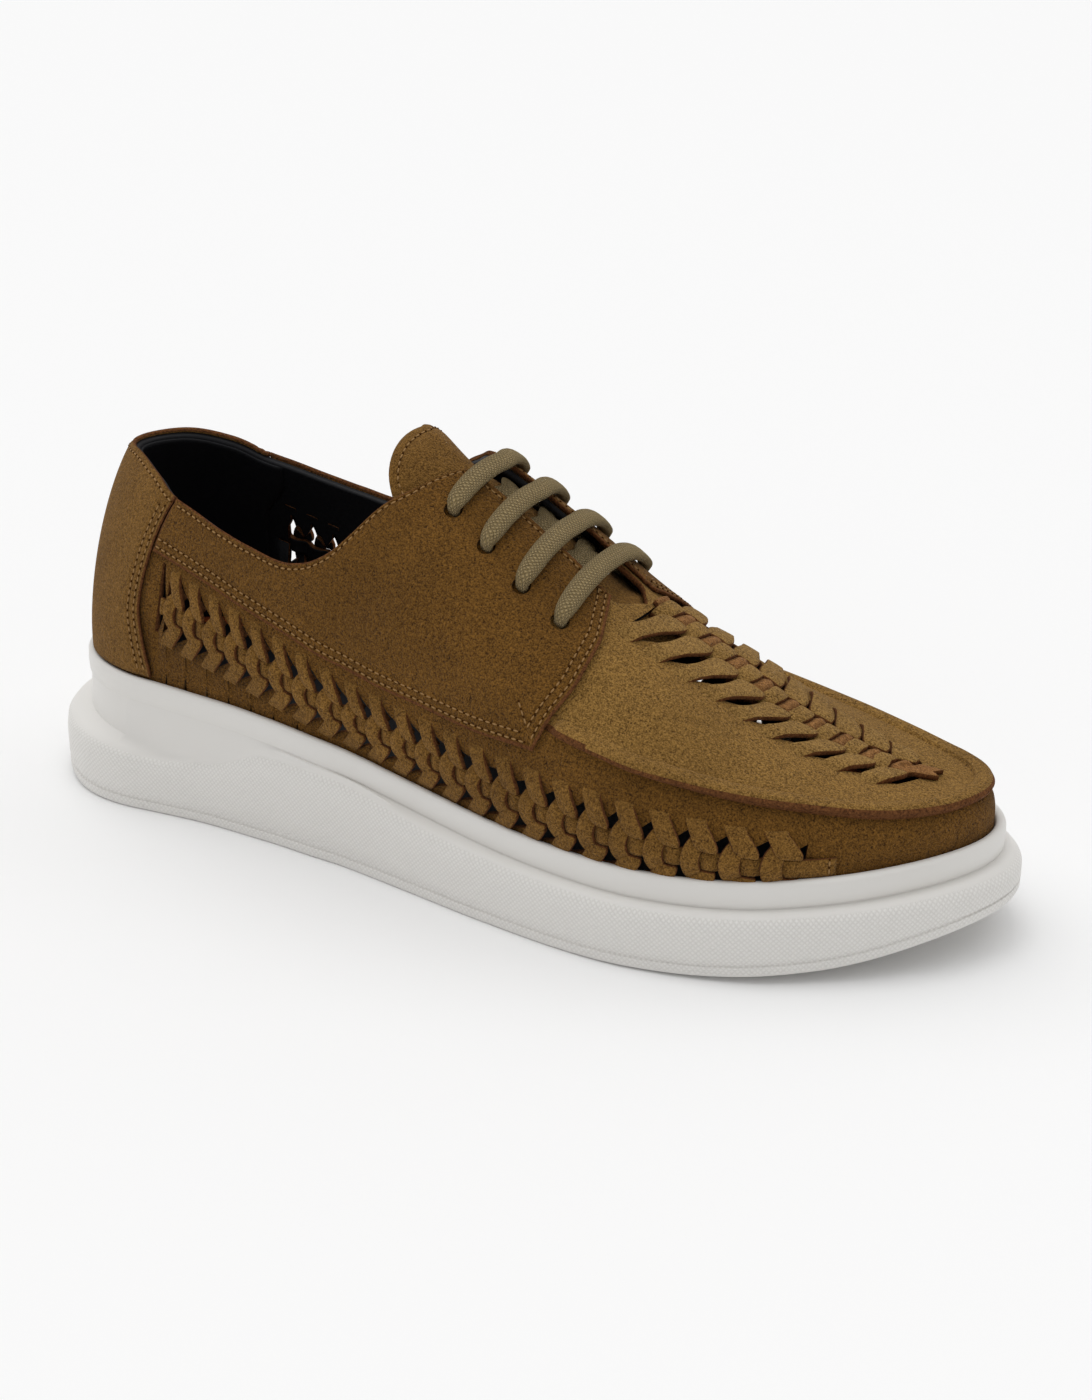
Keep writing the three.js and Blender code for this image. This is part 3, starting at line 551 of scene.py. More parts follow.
def trim(piece, doomed):
    """Cuts away the faces of a flat piece whose middles are named, by a mask."""
    bpy.ops.object.mode_set(mode="EDIT")
    bpy.ops.mesh.select_mode(type="FACE")
    bpy.ops.mesh.select_all(action="DESELECT")
    bpy.ops.object.mode_set(mode="OBJECT")
    piece.data.polygons.foreach_set("select", doomed)
    bpy.ops.object.mode_set(mode="EDIT")
    bpy.ops.mesh.delete(type="FACE")
    bpy.ops.object.mode_set(mode="OBJECT")


def weld(piece, distance=1e-6):
    bpy.ops.object.mode_set(mode="EDIT")
    bpy.ops.mesh.select_all(action="SELECT")
    bpy.ops.mesh.remove_doubles(threshold=distance)
    bpy.ops.mesh.select_all(action="DESELECT")
    bpy.ops.object.mode_set(mode="OBJECT")


def cut_sheet(name, columns, rows, doomed=None):
    """A flat sheet cut as a grid. Its points are at (u, v, 0) with u and v from 0 to 1."""
    start_clean()
    steps = {"x_subdivisions": columns, "y_subdivisions": rows}
    bpy.ops.mesh.primitive_grid_add(size=1, location=(0.5, 0.5, 0), **steps)
    bpy.ops.object.transform_apply(location=True)
    piece = bpy.context.object
    piece.name = piece.data.name = name
    if doomed is not None:
        middles = np.array([polygon.center[:2] for polygon in piece.data.polygons])
        trim(piece, doomed(middles[:, 0], middles[:, 1]))
    return piece


def dress(piece, *materials, smooth_angle=40):
    for material in materials:
        piece.data.materials.append(material)
    pick(piece)
    bpy.ops.object.shade_smooth_by_angle(angle=math.radians(smooth_angle))


def thicken(piece, thickness, lined=1, rim=2):
    """Gives a lasted sheet its thickness, inwards."""
    slots = {"material_offset": lined, "material_offset_rim": rim}
    modify(piece, "SOLIDIFY", thickness=thickness * MM, offset=-1, **slots)


def thicken_on_last(piece, thickness, angle, rise, out):
    """Thickens a sheet inwards along the last's own normals. The places are those of its unwelded points."""
    flat = metres(off_last(angle, rise, out))
    tree = KDTree(len(flat))
    for index, point in enumerate(flat):
        tree.insert(point, index)
    tree.balance()
    count = len(piece.data.vertices)
    closest = np.array([tree.find(vertex.co)[1] for vertex in piece.data.vertices])
    thicken(piece, thickness)
    points = points_of(piece)
    out = np.broadcast_to(out, np.shape(angle))
    points[count:] = metres(off_last(angle[closest], rise[closest], out[closest] - thickness))
    move_points(piece, points)


def edge_faces(piece, distance, limit):
    """Shows the cut edge on the faces nearest to the border, by the distance of each point from it."""
    near = [distance[list(polygon.vertices)].mean() < limit for polygon in piece.data.polygons]
    piece.data.polygons.foreach_set("material_index", np.where(near, 2, 0))


def done(piece, slot, *nodes):
    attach(piece, "root")
    if nodes:
        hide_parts(*nodes)
    return piece


def turn_over(piece):
    """Turns the faces of a piece made on the inner side to look outwards."""
    pick(piece)
    bpy.ops.object.mode_set(mode="EDIT")
    bpy.ops.mesh.select_all(action="SELECT")
    bpy.ops.mesh.flip_normals()
    bpy.ops.object.mode_set(mode="OBJECT")


def put_in(name, data):
    """A new object in the scene, from its data."""
    thing = bpy.data.objects.new(name, data)
    bpy.context.scene.collection.objects.link(thing)
    return thing


def repeat(name, pattern, places):
    """One mesh of many copies of a pattern piece: places gives the points of each copy."""
    base = pattern.data
    count = len(base.vertices)
    slots = [polygon.material_index for polygon in base.polygons]
    faces = [
        [i + k * count for i in polygon.vertices] for k in range(len(places)) for polygon in base.polygons
    ]
    mesh = bpy.data.meshes.new(name)
    mesh.from_pydata(np.concatenate(places).tolist(), [], faces)
    mesh.polygons.foreach_set("material_index", slots * len(places))
    return put_in(name, mesh)


# The weave. Each unit has a tongue from either edge of the band, whose tips lie beside the level strap, and
# half a unit behind them a crescent that crosses over the level strap. A table gives where each band runs.
STRAP_THICK = 1.6
UPPER_BOW, LOWER_BOW = 4.2, 5.5  # how far the outer ends of the side's straps lean back
SLIT_SHARE = 0.93  # height of a thin slit beside a tongue, as a share of the band's half width


def forward(t):
    """0 where the side's band is in its rear form, 1 in its front form, by the unit."""
    return smooth(7, 17, t)


def side_along(t):
    return (SIDE_START + SIDE_PITCH * t + SIDE_STRETCH * t * t) / LENGTH


def side_pitch(t):
    return SIDE_PITCH + 2 * SIDE_STRETCH * t


def side_unit(along):
    a, b, c = SIDE_STRETCH, SIDE_PITCH, SIDE_START - np.asarray(along) * LENGTH
    return (-b + np.sqrt(np.maximum(b * b - 4 * a * c, 0))) / (2 * a)


def apron_along(t):
    return (APRON_START + APRON_PITCH * t - HEEL_INSET) / RIDGE_LENGTH


def apron_unit(along):
    return (along * RIDGE_LENGTH + HEEL_INSET - APRON_START) / APRON_PITCH


def side_sweep(t, up):
    """How far the straps of a side lean back towards the heel, by the distance from the middle line."""
    half = column(SIDE_WEAVE, "half", side_along(t))
    bow = np.where(up > 0, UPPER_BOW, LOWER_BOW)
    return bow * np.minimum(np.abs(up) / half, 1) ** 1.5


def side_spot(side, t, up, lean=1.0):
    """Angle and rise of a place in the side's weave: units along, millimetres up from the middle line."""
    along = side_along(t) - lean * side_sweep(t, up) / LENGTH
    angle = angle_on(side, along)
    return angle, climb(angle, column(SIDE_WEAVE, "rise", along), up)


def apron_sweep(t, off):
    """The same lean on the apron: straps run straight across near the middle line, then back to the heel."""
    along = apron_along(t)
    slope, bend = column(APRON_WEAVE, "slope", along), column(APRON_WEAVE, "bend", along)
    far = np.minimum(np.abs(off), column(APRON_WEAVE, "half", along) + 4)
    return slope * (np.sqrt(far * far + bend * bend) - bend)


def across_at(along, across):
    """The rise of a place some millimetres across the ridge, lateral side negative, and its angle."""
    angle = angle_on(np.where(across < 0, LATERAL, MEDIAL), along)
    scale = np.linalg.norm(last_point(angle, 1.0) - last_point(angle, 0.96), axis=-1) / 0.04
    return angle, 1 - np.minimum(0.9, np.abs(across) / scale)


def apron_spot(t, off, lean=1.0):
    """Angle and rise of a place on the apron: units along the ridge, millimetres from the middle line."""
    along = apron_along(t) - lean * apron_sweep(t, off) / RIDGE_LENGTH
    return across_at(along, off + column(APRON_WEAVE, "middle", along))


def notch(t, half_strap, near, far, base, curve=1.0):
    """The edge of the wall along the band. It stops under each tongue. Beside the tongue a flap of the wall
    comes down, from the height near on one side to the height far by the next tongue."""
    f = t % 1.0
    first, last = half_strap * 0.85, 1 - half_strap * 0.9
    flap = lerp(near, far, np.clip((f - first) / (last - first), 0, 1) ** curve)
    flap = lerp(base, flap, smooth(first - 0.13, first, f))
    return lerp(flap, base, smooth(last, last + 0.2, f))


# The wall of the upper: one sheet around the last, open in a long window on either side where it is woven
WINDOW_FROM, WINDOW_TO = -1.25, 22.6
CLOSED_UNIT, SLOT_UNIT = -0.68, -0.8
SLOT_ABOVE, SLOT_BELOW = 12.0, 9.0
PER_UNIT = 12
FOOT_ROWS, BODY_ROWS = 12, 34
WALL_TUCK = 0.009  # how much lower than the sewn panels the wall ends


def band_columns(start, stop, along_of, begin, behind, ahead):
    """Angles of a sheet's columns, there and back around the shoe, dense and even in its weave. Half of them
    run from begin to the toe, with some columns behind the weave and some ahead of it."""
    weave = np.arange(int(round((stop - start) * PER_UNIT)) + 1) / PER_UNIT + start
    woven = lateral_angle(along_of(weave))
    back = np.linspace(begin, woven[0], behind)[:-1]
    front = np.linspace(woven[-1], math.pi, ahead)[1:]
    half = np.concatenate((back, woven, front))
    return np.concatenate((half, 2 * math.pi - half[::-1][1:]))


wall_angles = band_columns(WINDOW_FROM, WINDOW_TO, side_along, 0, 28, 46)


def wall_edges(side, t, half):
    """The heights of the window's two edges over the middle line of the band."""
    slit = half * SLIT_SHARE
    front = np.where(side == MEDIAL, 1.0, forward(t))
    above = notch(t, 0.3, lerp(slit, 5.2, front), lerp(4.4, half * 0.8, front), half, lerp(0.5, 1.0, front))
    below = notch(t, 0.3, slit, lerp(4.4, 7.0, forward(t)), half, 0.6)
    # Behind the first strap the wall closes over the band, and on the outer side a tall slot is cut there
    slot = np.clip((SLOT_UNIT - t) / 0.2, 0, 1) * np.where(side == LATERAL, 1, 0)
    above = np.where(t < CLOSED_UNIT, lerp(0.2, SLOT_ABOVE, slot), above)
    below = np.where(t < CLOSED_UNIT, lerp(0.2, SLOT_BELOW, slot), below)
    return above, -below


def wall_places(u, v):
    """Angle and rise of the wall's points from its flat pattern."""
    columns = len(wall_angles) - 1
    straight = wall_angles[np.rint(u * columns).astype(int)]
    side = np.where(straight <= math.pi, LATERAL, MEDIAL)
    row = np.rint(v * (FOOT_ROWS + 1 + BODY_ROWS)).astype(int)
    lower = row <= FOOT_ROWS
    share = np.where(lower, (row / FOOT_ROWS) ** 0.8, ((row - FOOT_ROWS - 1).clip(0) / BODY_ROWS) ** 1.4)
    t = side_unit(along_at(straight))
    half = column(SIDE_WEAVE, "half", along_at(straight))
    inside = (t > WINDOW_FROM - 0.01) & (t < WINDOW_TO + 0.01)
    edges = wall_edges(side, t, half)
    edge_up = np.where(lower, np.where(inside, edges[1], -1.0), np.where(inside, edges[0], 1.0))
    base_up = np.where(inside, np.where(lower, -half, half), edge_up)

    def rise_at(angle):
        now = along_at(angle)
        middle = column(SIDE_WEAVE, "rise", now)
        base = climb(angle, middle, base_up)
        flap = climb(angle, middle, edge_up) - base
        under_apron = climb(angle, column(APRON, "rise", now), 1.5)
        top = lerp(panel_top(now) - WALL_TUCK, under_apron, smooth(0.545, 0.6, now))
        foot = lerp(-(CUP_DEPTH - GAP), base, share) + flap * share**3
        return np.where(lower, foot, lerp(base, top, share) + flap * (1 - share) ** 6)

    woven = smooth(-1.6, 0.2, t) * (1 - smooth(WINDOW_TO, WINDOW_TO + 3, t))
    up = descend(straight, column(SIDE_WEAVE, "rise", along_at(straight)), rise_at(straight))
    leaning = angle_on(side, np.clip(along_at(straight) - woven * side_sweep(t, up) / LENGTH, 0, 1))
    leaning = np.where((straight == 0) | (np.abs(straight - math.pi) < 1e-9), straight, leaning)
    return leaning, rise_at(leaning)


def window(u, v):
    """The faces of the flat wall that the windows take away."""
    columns = len(wall_angles) - 1
    before, after = np.floor(u * columns).astype(int), np.ceil(u * columns).astype(int)
    t = side_unit(along_at((wall_angles[before] + wall_angles[after]) / 2))
    row = np.floor(v * (FOOT_ROWS + 1 + BODY_ROWS)).astype(int)
    return (row == FOOT_ROWS) & (t > WINDOW_FROM) & (t < WINDOW_TO)


def upper_wall():
    wall = cut_sheet("upper_wall", len(wall_angles) - 1, FOOT_ROWS + 1 + BODY_ROWS, window)
    flat = points_of(wall)
    angle, rise = wall_places(flat[:, 0], flat[:, 1])
    move_points(wall, metres(off_last(angle, rise, 0.0)))
    weld(wall)
    dress(wall, SHADED_SIDE_SUEDE, LINING, EDGE)
    thicken_on_last(wall, WALL, angle, rise, 0.0)
    middles = np.array([polygon.center[:] for polygon in wall.data.polygons]) / MM + MIDDLE
    slots = np.array([polygon.material_index for polygon in wall.data.polygons])
    along = np.clip(middles[:, 0] / LENGTH, 0, 1)
    collar = last_point(lateral_angle(along), panel_top(along))[:, 2]
    # The cut edge at the collar is bound with the lining
    slots[(slots == 2) & (middles[:, 2] > collar - 6)] = 1
    wall.data.polygons.foreach_set("material_index", slots)
    return done(wall, "suede", "upper")


# Straps: one flat strap is cut and rounded, and each strap of the weave is that one bent to its place
PATTERN_HALF, PATTERN_LONG = 2.0, 10.0


def cut_strap():
    """A strap pattern: x from -1 to 1 across, y from 0 to 1 along, z in millimetres, 0 at its outer face."""
    start_clean()
    bpy.ops.mesh.primitive_grid_add(x_subdivisions=6, y_subdivisions=14, size=2, location=(0, 0, 0))
    strap = bpy.context.object
    move_points(strap, points_of(strap) * (PATTERN_HALF, PATTERN_LONG / 2, 1.0))
    for material in (SHADED_SIDE_STRAP, LINING, EDGE):
        strap.data.materials.append(material)
    modify(strap, "SOLIDIFY", thickness=STRAP_THICK, offset=-1, material_offset=1, material_offset_rim=2)
    modify(strap, "BEVEL", width=0.34, segments=2, limit_method="ANGLE", angle_limit=math.radians(50))
    move_points(strap, points_of(strap) / (PATTERN_HALF, PATTERN_LONG, 1.0) + (0, 0.5, 0))
    return strap


strap_pattern = cut_strap()
PATTERN = points_of(strap_pattern)


def bent(spot, line_t, line_up, half_width, out, pitch, crowned, tilt=0.0):
    """The pattern strap bent along a line of the weave. The line and the widths are functions of y. The tilt
    lifts the edge that looks at the toe."""
    x, y, z = PATTERN.T
    step = 1e-3
    ahead_s = (line_t(y + step) - line_t(y - step)) * pitch
    ahead_up = line_up(y + step) - line_up(y - step)
    size = np.hypot(ahead_s, ahead_up)
    wide = half_width(y)
    t = line_t(y) + x * wide * ahead_up / size / pitch
    up = line_up(y) - x * wide * ahead_s / size
    angle, rise = spot(t, up)
    raised = tilt * x * np.sign(ahead_up) * smooth(0.15, 0.7, y)
    return metres(off_last(angle, rise, out(y) + z + raised + crowned(y) * (1 - x * x)))


def rounded(tip, y):
    """The share of the width that is left where the tip of a tongue rounds off."""
    end = np.clip((y - tip) / (1 - tip), 0, 1)
    return np.sqrt(1 - 0.4 * end * end)


def tongue_of(spot, k, sense, root, tip, widths, pitch, high):
    """One tongue: it leaves the wall at its root and rides up to the level strap. Widths are half widths by
    the distance from the middle line, in units."""

    def line_up(y):
        return sense * lerp(root, tip, y)

    def line_t(y):
        return k + 0 * y

    def out(y):
        return lerp(-0.6, high, smooth(0, 7.0, y * (root - tip))) - 0.35 * smooth(0.86, 1.0, y)

    def half_width(y):
        return np.interp(np.abs(line_up(y)), *widths) * pitch * rounded(0.8, y)

    return bent(spot, line_t, line_up, half_width, out, pitch, lambda y: 0.45 * smooth(0.2, 0.8, y), 0.4)


def crescent_of(spot, k, reach, wide, curl, high, pitch):
    """One crescent over the level strap. Its ends go down under the tongues beside it."""

    def line_up(y):
        return lerp(reach, -reach, y)

    def line_t(y):
        return k - 0.5 + curl * (2 * y - 1) ** 2

    def out(y):
        return lerp(-1.1, high, np.sin(math.pi * np.clip(y, 0, 1)) ** 0.6)

    def half_width(y):
        return wide * (1 - 0.16 * (2 * y - 1) ** 2) + 0 * y

    return bent(spot, line_t, line_up, half_width, out, pitch, lambda y: 0.35)


def side_straps(side, name):
    """All straps of one side. Each one differs a little from the next."""
    copies = []

    def spot(t, up):
        return side_spot(side, t, up)

    def upright(t, up):
        return side_spot(side, t, up, lean=0.0)

    for k in range(SIDE_UNITS):
        half = float(column(SIDE_WEAVE, "half", side_along(k)))
        pitch = side_pitch(k)
        sway = math.sin(2.3 * k)
        front = float(forward(k))
        places = (2, 4.5, half, 30)
        upper = (places, (0.32, 0.33, lerp(0.26, 0.29, front), 0.28))
        lower = (places, (0.3, 0.33, 0.31, 0.3))
        copies.append(tongue_of(spot, k, 1, half + 3.4, 2.6 + 0.12 * sway, upper, pitch, 1.65 + 0.15 * sway))
        copies.append(tongue_of(spot, k, -1, half + 3.0, 2.7 - 0.1 * sway, lower, pitch, 1.4))
        reach = 0.56 * half + 0.2 * sway
        wide = (0.26 + 0.012 * math.sin(3.7 * k)) * pitch
        copies.append(crescent_of(upright, k, reach, wide, lerp(0.3, 0.22, front), 2.0, pitch))
    piece = repeat(name, strap_pattern, copies)
    if side == MEDIAL:
        turn_over(piece)
    dress(piece, SHADED_SIDE_STRAP, LINING, EDGE)
    return done(piece, "suede")


def level_strap(name, finish, spot, last, wide, low, high, inner=False):
    """The strap that the crescents hold: it rises between them, and in front its free end lies flat. The last
    unit is where it ends, and the heights are its lowest and highest."""
    strap = cut_sheet(name, 280, 6)
    flat = points_of(strap)
    t = lerp(-1.0, last, flat[:, 0])
    off = (2 * flat[:, 1] - 1) * wide + 1e-4
    angle, rise = spot(t, off)
    free = smooth(last - 1.0, last - 0.7, t)
    wave = lerp(low, high, 0.5 + 0.5 * np.cos(2 * math.pi * t))
    out = lerp(wave, high, free) + 0.12 * (1 - (2 * flat[:, 1] - 1) ** 2)
    move_points(strap, metres(off_last(angle, rise, out)))
    if inner:
        turn_over(strap)
    dress(strap, finish, LINING, EDGE)
    thicken(strap, 1.4)
    return done(strap, "suede")


# The apron: the sheet on top of the toes, woven along its middle
APRON_FROM, APRON_TO = -0.7, 8.9
APRON_ROWS = 40
APRON_REACH = 44  # from the middle line out to the seam
LIP = (
    # distance off the last, place up the wall from the seam
    (-0.3, -0.2), (0.6, -0.9), (1.7, -1.15), (2.6, -0.9), (3.1, -0.1), (3.1, 0.8), (2.75, 1.6),
    (2.2, 2.3), (1.75, 3.0),
)
CUT_ROWS = 3.5  # as far up the lip as the cut edge shows
SWELL, SWELL_WIDE = 1.5, 9  # height and width of the soft swell behind the lip


apron_angles = band_columns(APRON_FROM, APRON_TO, apron_along, lateral_angle(0.585), 14, 44)


def apron_places(u, v):
    """Angle, rise and distance off the last of the apron's points from its flat pattern."""
    columns = len(apron_angles) - 1
    straight = apron_angles[np.rint(u * columns).astype(int)]
    side = np.where(straight <= math.pi, LATERAL, MEDIAL)
    along = along_at(straight)
    t = apron_unit(along)
    inside = (t > APRON_FROM - 0.01) & (t < APRON_TO + 0.01)
    woven = smooth(APRON_FROM - 1.5, APRON_FROM, t) * (1 - smooth(APRON_TO, APRON_TO + 0.6, t))
    half = column(APRON_WEAVE, "half", along)
    edge = np.where(inside, notch(t, 0.33, 0.9 * half, 0.58 * half, half), 0.0)
    share = np.rint(v * APRON_ROWS) / APRON_ROWS
    shift = woven * apron_sweep(t, lerp(APRON_REACH, edge, share)) / RIDGE_LENGTH
    leaning = angle_on(side, np.clip(along - shift, 0, 1))
    leaning = np.where(np.abs(straight - math.pi) < 1e-9, straight, leaning)
    now = along_at(leaning)
    throat = np.minimum(1, column(OPENING, "rise", now))
    across = side * edge + column(APRON_WEAVE, "middle", now)
    across = np.where(inside, side * np.maximum(side * across, 0.05), side * 0.0001)
    inner = np.where(inside, np.minimum(across_at(now, across)[1], throat - 0.004), throat)
    foot = column(APRON, "rise", now)
    lip_out, lip_up = np.array(LIP)[np.clip(np.rint(v * APRON_ROWS).astype(int), 0, len(LIP) - 1)].T
    rest = np.clip((share * APRON_ROWS - len(LIP) + 1) / (APRON_ROWS - len(LIP) + 1), 0, 1)
    rise = lerp(climb(leaning, foot, lip_up), inner, rest)
    front = column(QUARTER_FRONT, "along", rise, "rise") + np.where(side == MEDIAL, INNER_AHEAD, 0)
    bare = smooth(front + 0.003, front + 0.014, now)
    from_seam = np.linalg.norm(last_point(leaning, rise) - last_point(leaning, foot), axis=-1)
    fall = np.clip(1 - from_seam / SWELL_WIDE, 0, 1)
    high = np.where(rest > 0, SWELL * fall**1.6, lip_out)
    return leaning, rise, lerp(np.minimum(high, 0), high, bare) + 0.03


def apron_sheet():
    """The apron, welded along its middle line in front of the weave, with the cut edge showing on its lip."""
    apron = cut_sheet("apron", len(apron_angles) - 1, APRON_ROWS)
    flat = points_of(apron)
    angle, rise, out = apron_places(flat[:, 0], flat[:, 1])
    move_points(apron, metres(off_last(angle, rise, out)))
    rows = flat[:, 1] * APRON_ROWS
    low = np.array([rows[polygon.vertices[0]] for polygon in apron.data.polygons])
    weld(apron)
    dress(apron, LIT_TOP_SUEDE, LINING, EDGE)
    apron.data.polygons.foreach_set("material_index", np.where(low < CUT_ROWS, 2, 0))
    thicken_on_last(apron, 1.7, angle, rise, out)
    return done(apron, "suede")


def apron_straps():
    """The straps of the apron. Their tongues are broad and touch each other beside the level strap."""
    copies = []
    for k in range(APRON_UNITS):
        half = float(column(APRON_WEAVE, "half", apron_along(k)))
        sway = math.sin(2.9 * k)
        widths = ((2, 4, 6, 9, 14, 40), (0.4, 0.45, 0.48, 0.43, 0.33, 0.33))
        for sense in (-1, 1):
            tip, high = 3.6 + 0.15 * sway, 1.7 + 0.15 * sway
            copies.append(tongue_of(apron_spot, k, sense, half + 3, tip, widths, APRON_PITCH, high))
        wide = (0.29 + 0.012 * math.sin(4.1 * k)) * APRON_PITCH
        copies.append(crescent_of(apron_spot, k, 6.0, wide, -0.02, 2.3, APRON_PITCH))
    piece = repeat("apron_straps", strap_pattern, copies)
    dress(piece, LIT_TOP_STRAP, LINING, EDGE)
    return done(piece, "suede")


# Sewn panels
PANEL_LENGTH = 268  # the last's length halfway up, which turns a share along it into millimetres on a panel
ROW_ONE, ROW_TWO = 1.7, 4.0  # the two rows of stitches, from the edge
FRONT_FROM, FRONT_TO = 0.61, 0.63  # where the quarter's foot and its top end


def crowd(share, strength):
    """Spreads even steps so that they crowd at both ends."""
    return lerp(share, 0.5 - 0.5 * np.cos(math.pi * share), strength)


def groove(distance, depth=0.3, width=0.7):
    """The line that a row of stitches pulls into a panel."""
    return -depth * np.exp(-((distance / width) ** 2))


def seam(distance):
    """The two grooves beside a sewn edge, by the distance from it."""
    return groove(distance - ROW_ONE) + groove(distance - ROW_TWO)


def rolled(distance):
    """How far a panel's face comes down at its cut edge."""
    return -0.35 * np.exp(-np.maximum(distance, 0) / 0.5)


def nearest(*distances):
    return np.minimum.reduce(distances)


def quarter_edges(side):
    """The four edges of a quarter: rises of its foot and top, places of its back and front along the shoe."""
    ahead = INNER_AHEAD if side == MEDIAL else 0

    def foot(along):
        return column(QUARTER_FOOT, "rise", along)

    def top(along):
        return panel_top(np.minimum(along, FRONT_TO))

    def back(rise):
        return column(COUNTER_SEAM, "along", rise, "rise") + (SEAM_GAP if side == LATERAL else GAP) / LENGTH

    def front(rise):
        return column(QUARTER_FRONT, "along", rise, "rise") + ahead

    return foot, top, back, front


def quarter(side, name, node):
    """The panel over the instep that carries the eyelets, sewn at its foot, its front and its top."""
    foot, top, back, front = quarter_edges(side)
    sheet = cut_sheet(name, 230, 56)
    flat = points_of(sheet)
    u, v = crowd(flat[:, 0], 0.55), crowd(flat[:, 1], 0.75)
    near = lerp(back(0.5), front(0.6), u)
    guess = lerp(foot(near), top(near), v)
    along = lerp(back(guess), front(guess), u)
    rise = lerp(foot(along), top(along), v)
    angle = angle_on(side, along)
    height = np.linalg.norm(last_point(angle, top(along)) - last_point(angle, foot(along)), axis=-1)
    from_foot, from_top = v * height, (1 - v) * height
    from_front = (front(guess) - along) * PANEL_LENGTH
    from_back = (along - back(guess)) * LENGTH
    out = GAP + OVERLAY + 0.15 + seam(from_foot) + seam(from_front) + groove(from_top - ROW_ONE, 0.25)
    out = out + rolled(nearest(from_foot, from_front, from_top, from_back))
    move_points(sheet, metres(off_last(angle, rise, out)))
    if side == MEDIAL:
        turn_over(sheet)
    dress(sheet, SHADED_SIDE_SUEDE, LINING, EDGE)
    edge_faces(sheet, nearest(from_foot, from_front, from_top + 0.35, from_back + 0.35), 0.8)
    thicken(sheet, OVERLAY, lined=0, rim=2)
    return done(sheet, "suede", node)


def counter():
    """The panel around the heel, from one seam to the other."""
    sheet = cut_sheet("heel_counter_suede", 120, 44)
    flat = points_of(sheet)
    u, v = crowd(flat[:, 0], 0.55), flat[:, 1]
    end = column(COUNTER_SEAM, "along", v * COUNTER_SEAM["rise"][-1], "rise")
    angle = (2 * u - 1) * lateral_angle(end)
    rise = lerp(0.012, panel_top(along_at(angle)), v)
    from_seam = (end - along_at(angle)) * LENGTH
    height = np.linalg.norm(last_point(angle, 0.6) - last_point(angle, 0.0), axis=-1) / 0.6
    from_top = (panel_top(along_at(angle)) - rise) * height
    out = GAP + OVERLAY + 0.1 + seam(from_seam) + groove(from_top - ROW_ONE, 0.25)
    out = out + rolled(nearest(from_seam, from_top))
    move_points(sheet, metres(off_last(angle % (2 * math.pi), rise, out)))
    dress(sheet, HEEL_SUEDE, LINING, EDGE)
    edge_faces(sheet, nearest(from_seam, from_top + 0.35), 0.7)
    thicken(sheet, OVERLAY, lined=0, rim=2)
    return done(sheet, "suede", "heel_counter")


def heel_lining():
    """The smooth lining panel inside the heel, with its raised edge on either side."""
    sheet = cut_sheet("heel_lining", 100, 30)
    flat = points_of(sheet)
    v = flat[:, 1]
    edge = lateral_angle(lerp(0.126, 0.152, smooth(0.55, 0.85, v)))
    angle = (2 * flat[:, 0] - 1) * edge
    rise = lerp(0.03, panel_top(along_at(angle)) - 0.012, v)
    border = (along_at(edge) - along_at(angle)) * LENGTH
    out = -WALL - 0.75 + 0.5 * np.exp(-np.maximum(border, 0) / 0.5) + groove(border - 1.8, -0.2, 0.5)
    move_points(sheet, metres(off_last(angle % (2 * math.pi), rise, out)))
    turn_over(sheet)
    dress(sheet, LINING)
    thicken(sheet, 0.7, lined=0, rim=0)
    return done(sheet, "suede")


EYELET_RADIUS, PUNCH_LONG = 2.6, 14


def punch(sheet, side):
    """Punches the eyelets of one side."""
    for along, rise in EYELETS:
        angle = float(angle_on(side, along))
        centre = metres(last_point(angle, rise))
        normal = Vector(last_normal(angle, rise))
        start_clean()
        bpy.ops.mesh.primitive_cylinder_add(vertices=24, radius=EYELET_RADIUS * MM, depth=PUNCH_LONG * MM)
        punch_tool = bpy.context.object
        turned = normal.to_track_quat("Z", "Y").to_matrix().to_4x4()
        punch_tool.data.transform(Matrix.Translation(Vector(centre)) @ turned)
        modify(sheet, "BOOLEAN", object=punch_tool, operation="DIFFERENCE", solver="EXACT")
        bpy.data.objects.remove(punch_tool)


TONGUE_LENGTH, TONGUE_HALF = 262, 30  # millimetres for a whole share along the shoe and across the tongue
TONGUE_ROW = 3.0


def tongue_top(across):
    """Where the tongue's rounded top lies along the shoe, by the place across it from -1 to 1."""
    return TONGUE["along"][0] + 0.022 * across**2 + 0.016 * across**4


def tongue_spot(along, across):
    rise = 1 - np.abs(across) * (1 - column(TONGUE, "edge", along))
    return angle_on(np.where(across < 0, LATERAL, MEDIAL), along), rise


def tongue():
    sheet = cut_sheet("tongue_suede", 90, 36)
    flat = points_of(sheet)
    u, across = flat[:, 0], 2 * flat[:, 1] - 1
    first, last = TONGUE["along"][0], TONGUE["along"][-1]
    along = lerp(first, last, u) + (tongue_top(across) - first) * (1 - u) ** 6
    angle, rise = tongue_spot(along, across)
    from_top = (along - tongue_top(across)) * TONGUE_LENGTH
    margin = nearest(from_top + 0.2, (1 - np.abs(across)) * TONGUE_HALF)
    out = column(TONGUE, "off", along) + 0.2 + groove(margin - TONGUE_ROW, 0.35, 0.8)
    out = out - 0.5 * np.exp(-margin / 0.6)
    move_points(sheet, metres(off_last(angle, rise, out)))
    dress(sheet, HEEL_SUEDE, LINING)
    thicken(sheet, 2.2, rim=1)
    return done(sheet, "suede", "tongue")


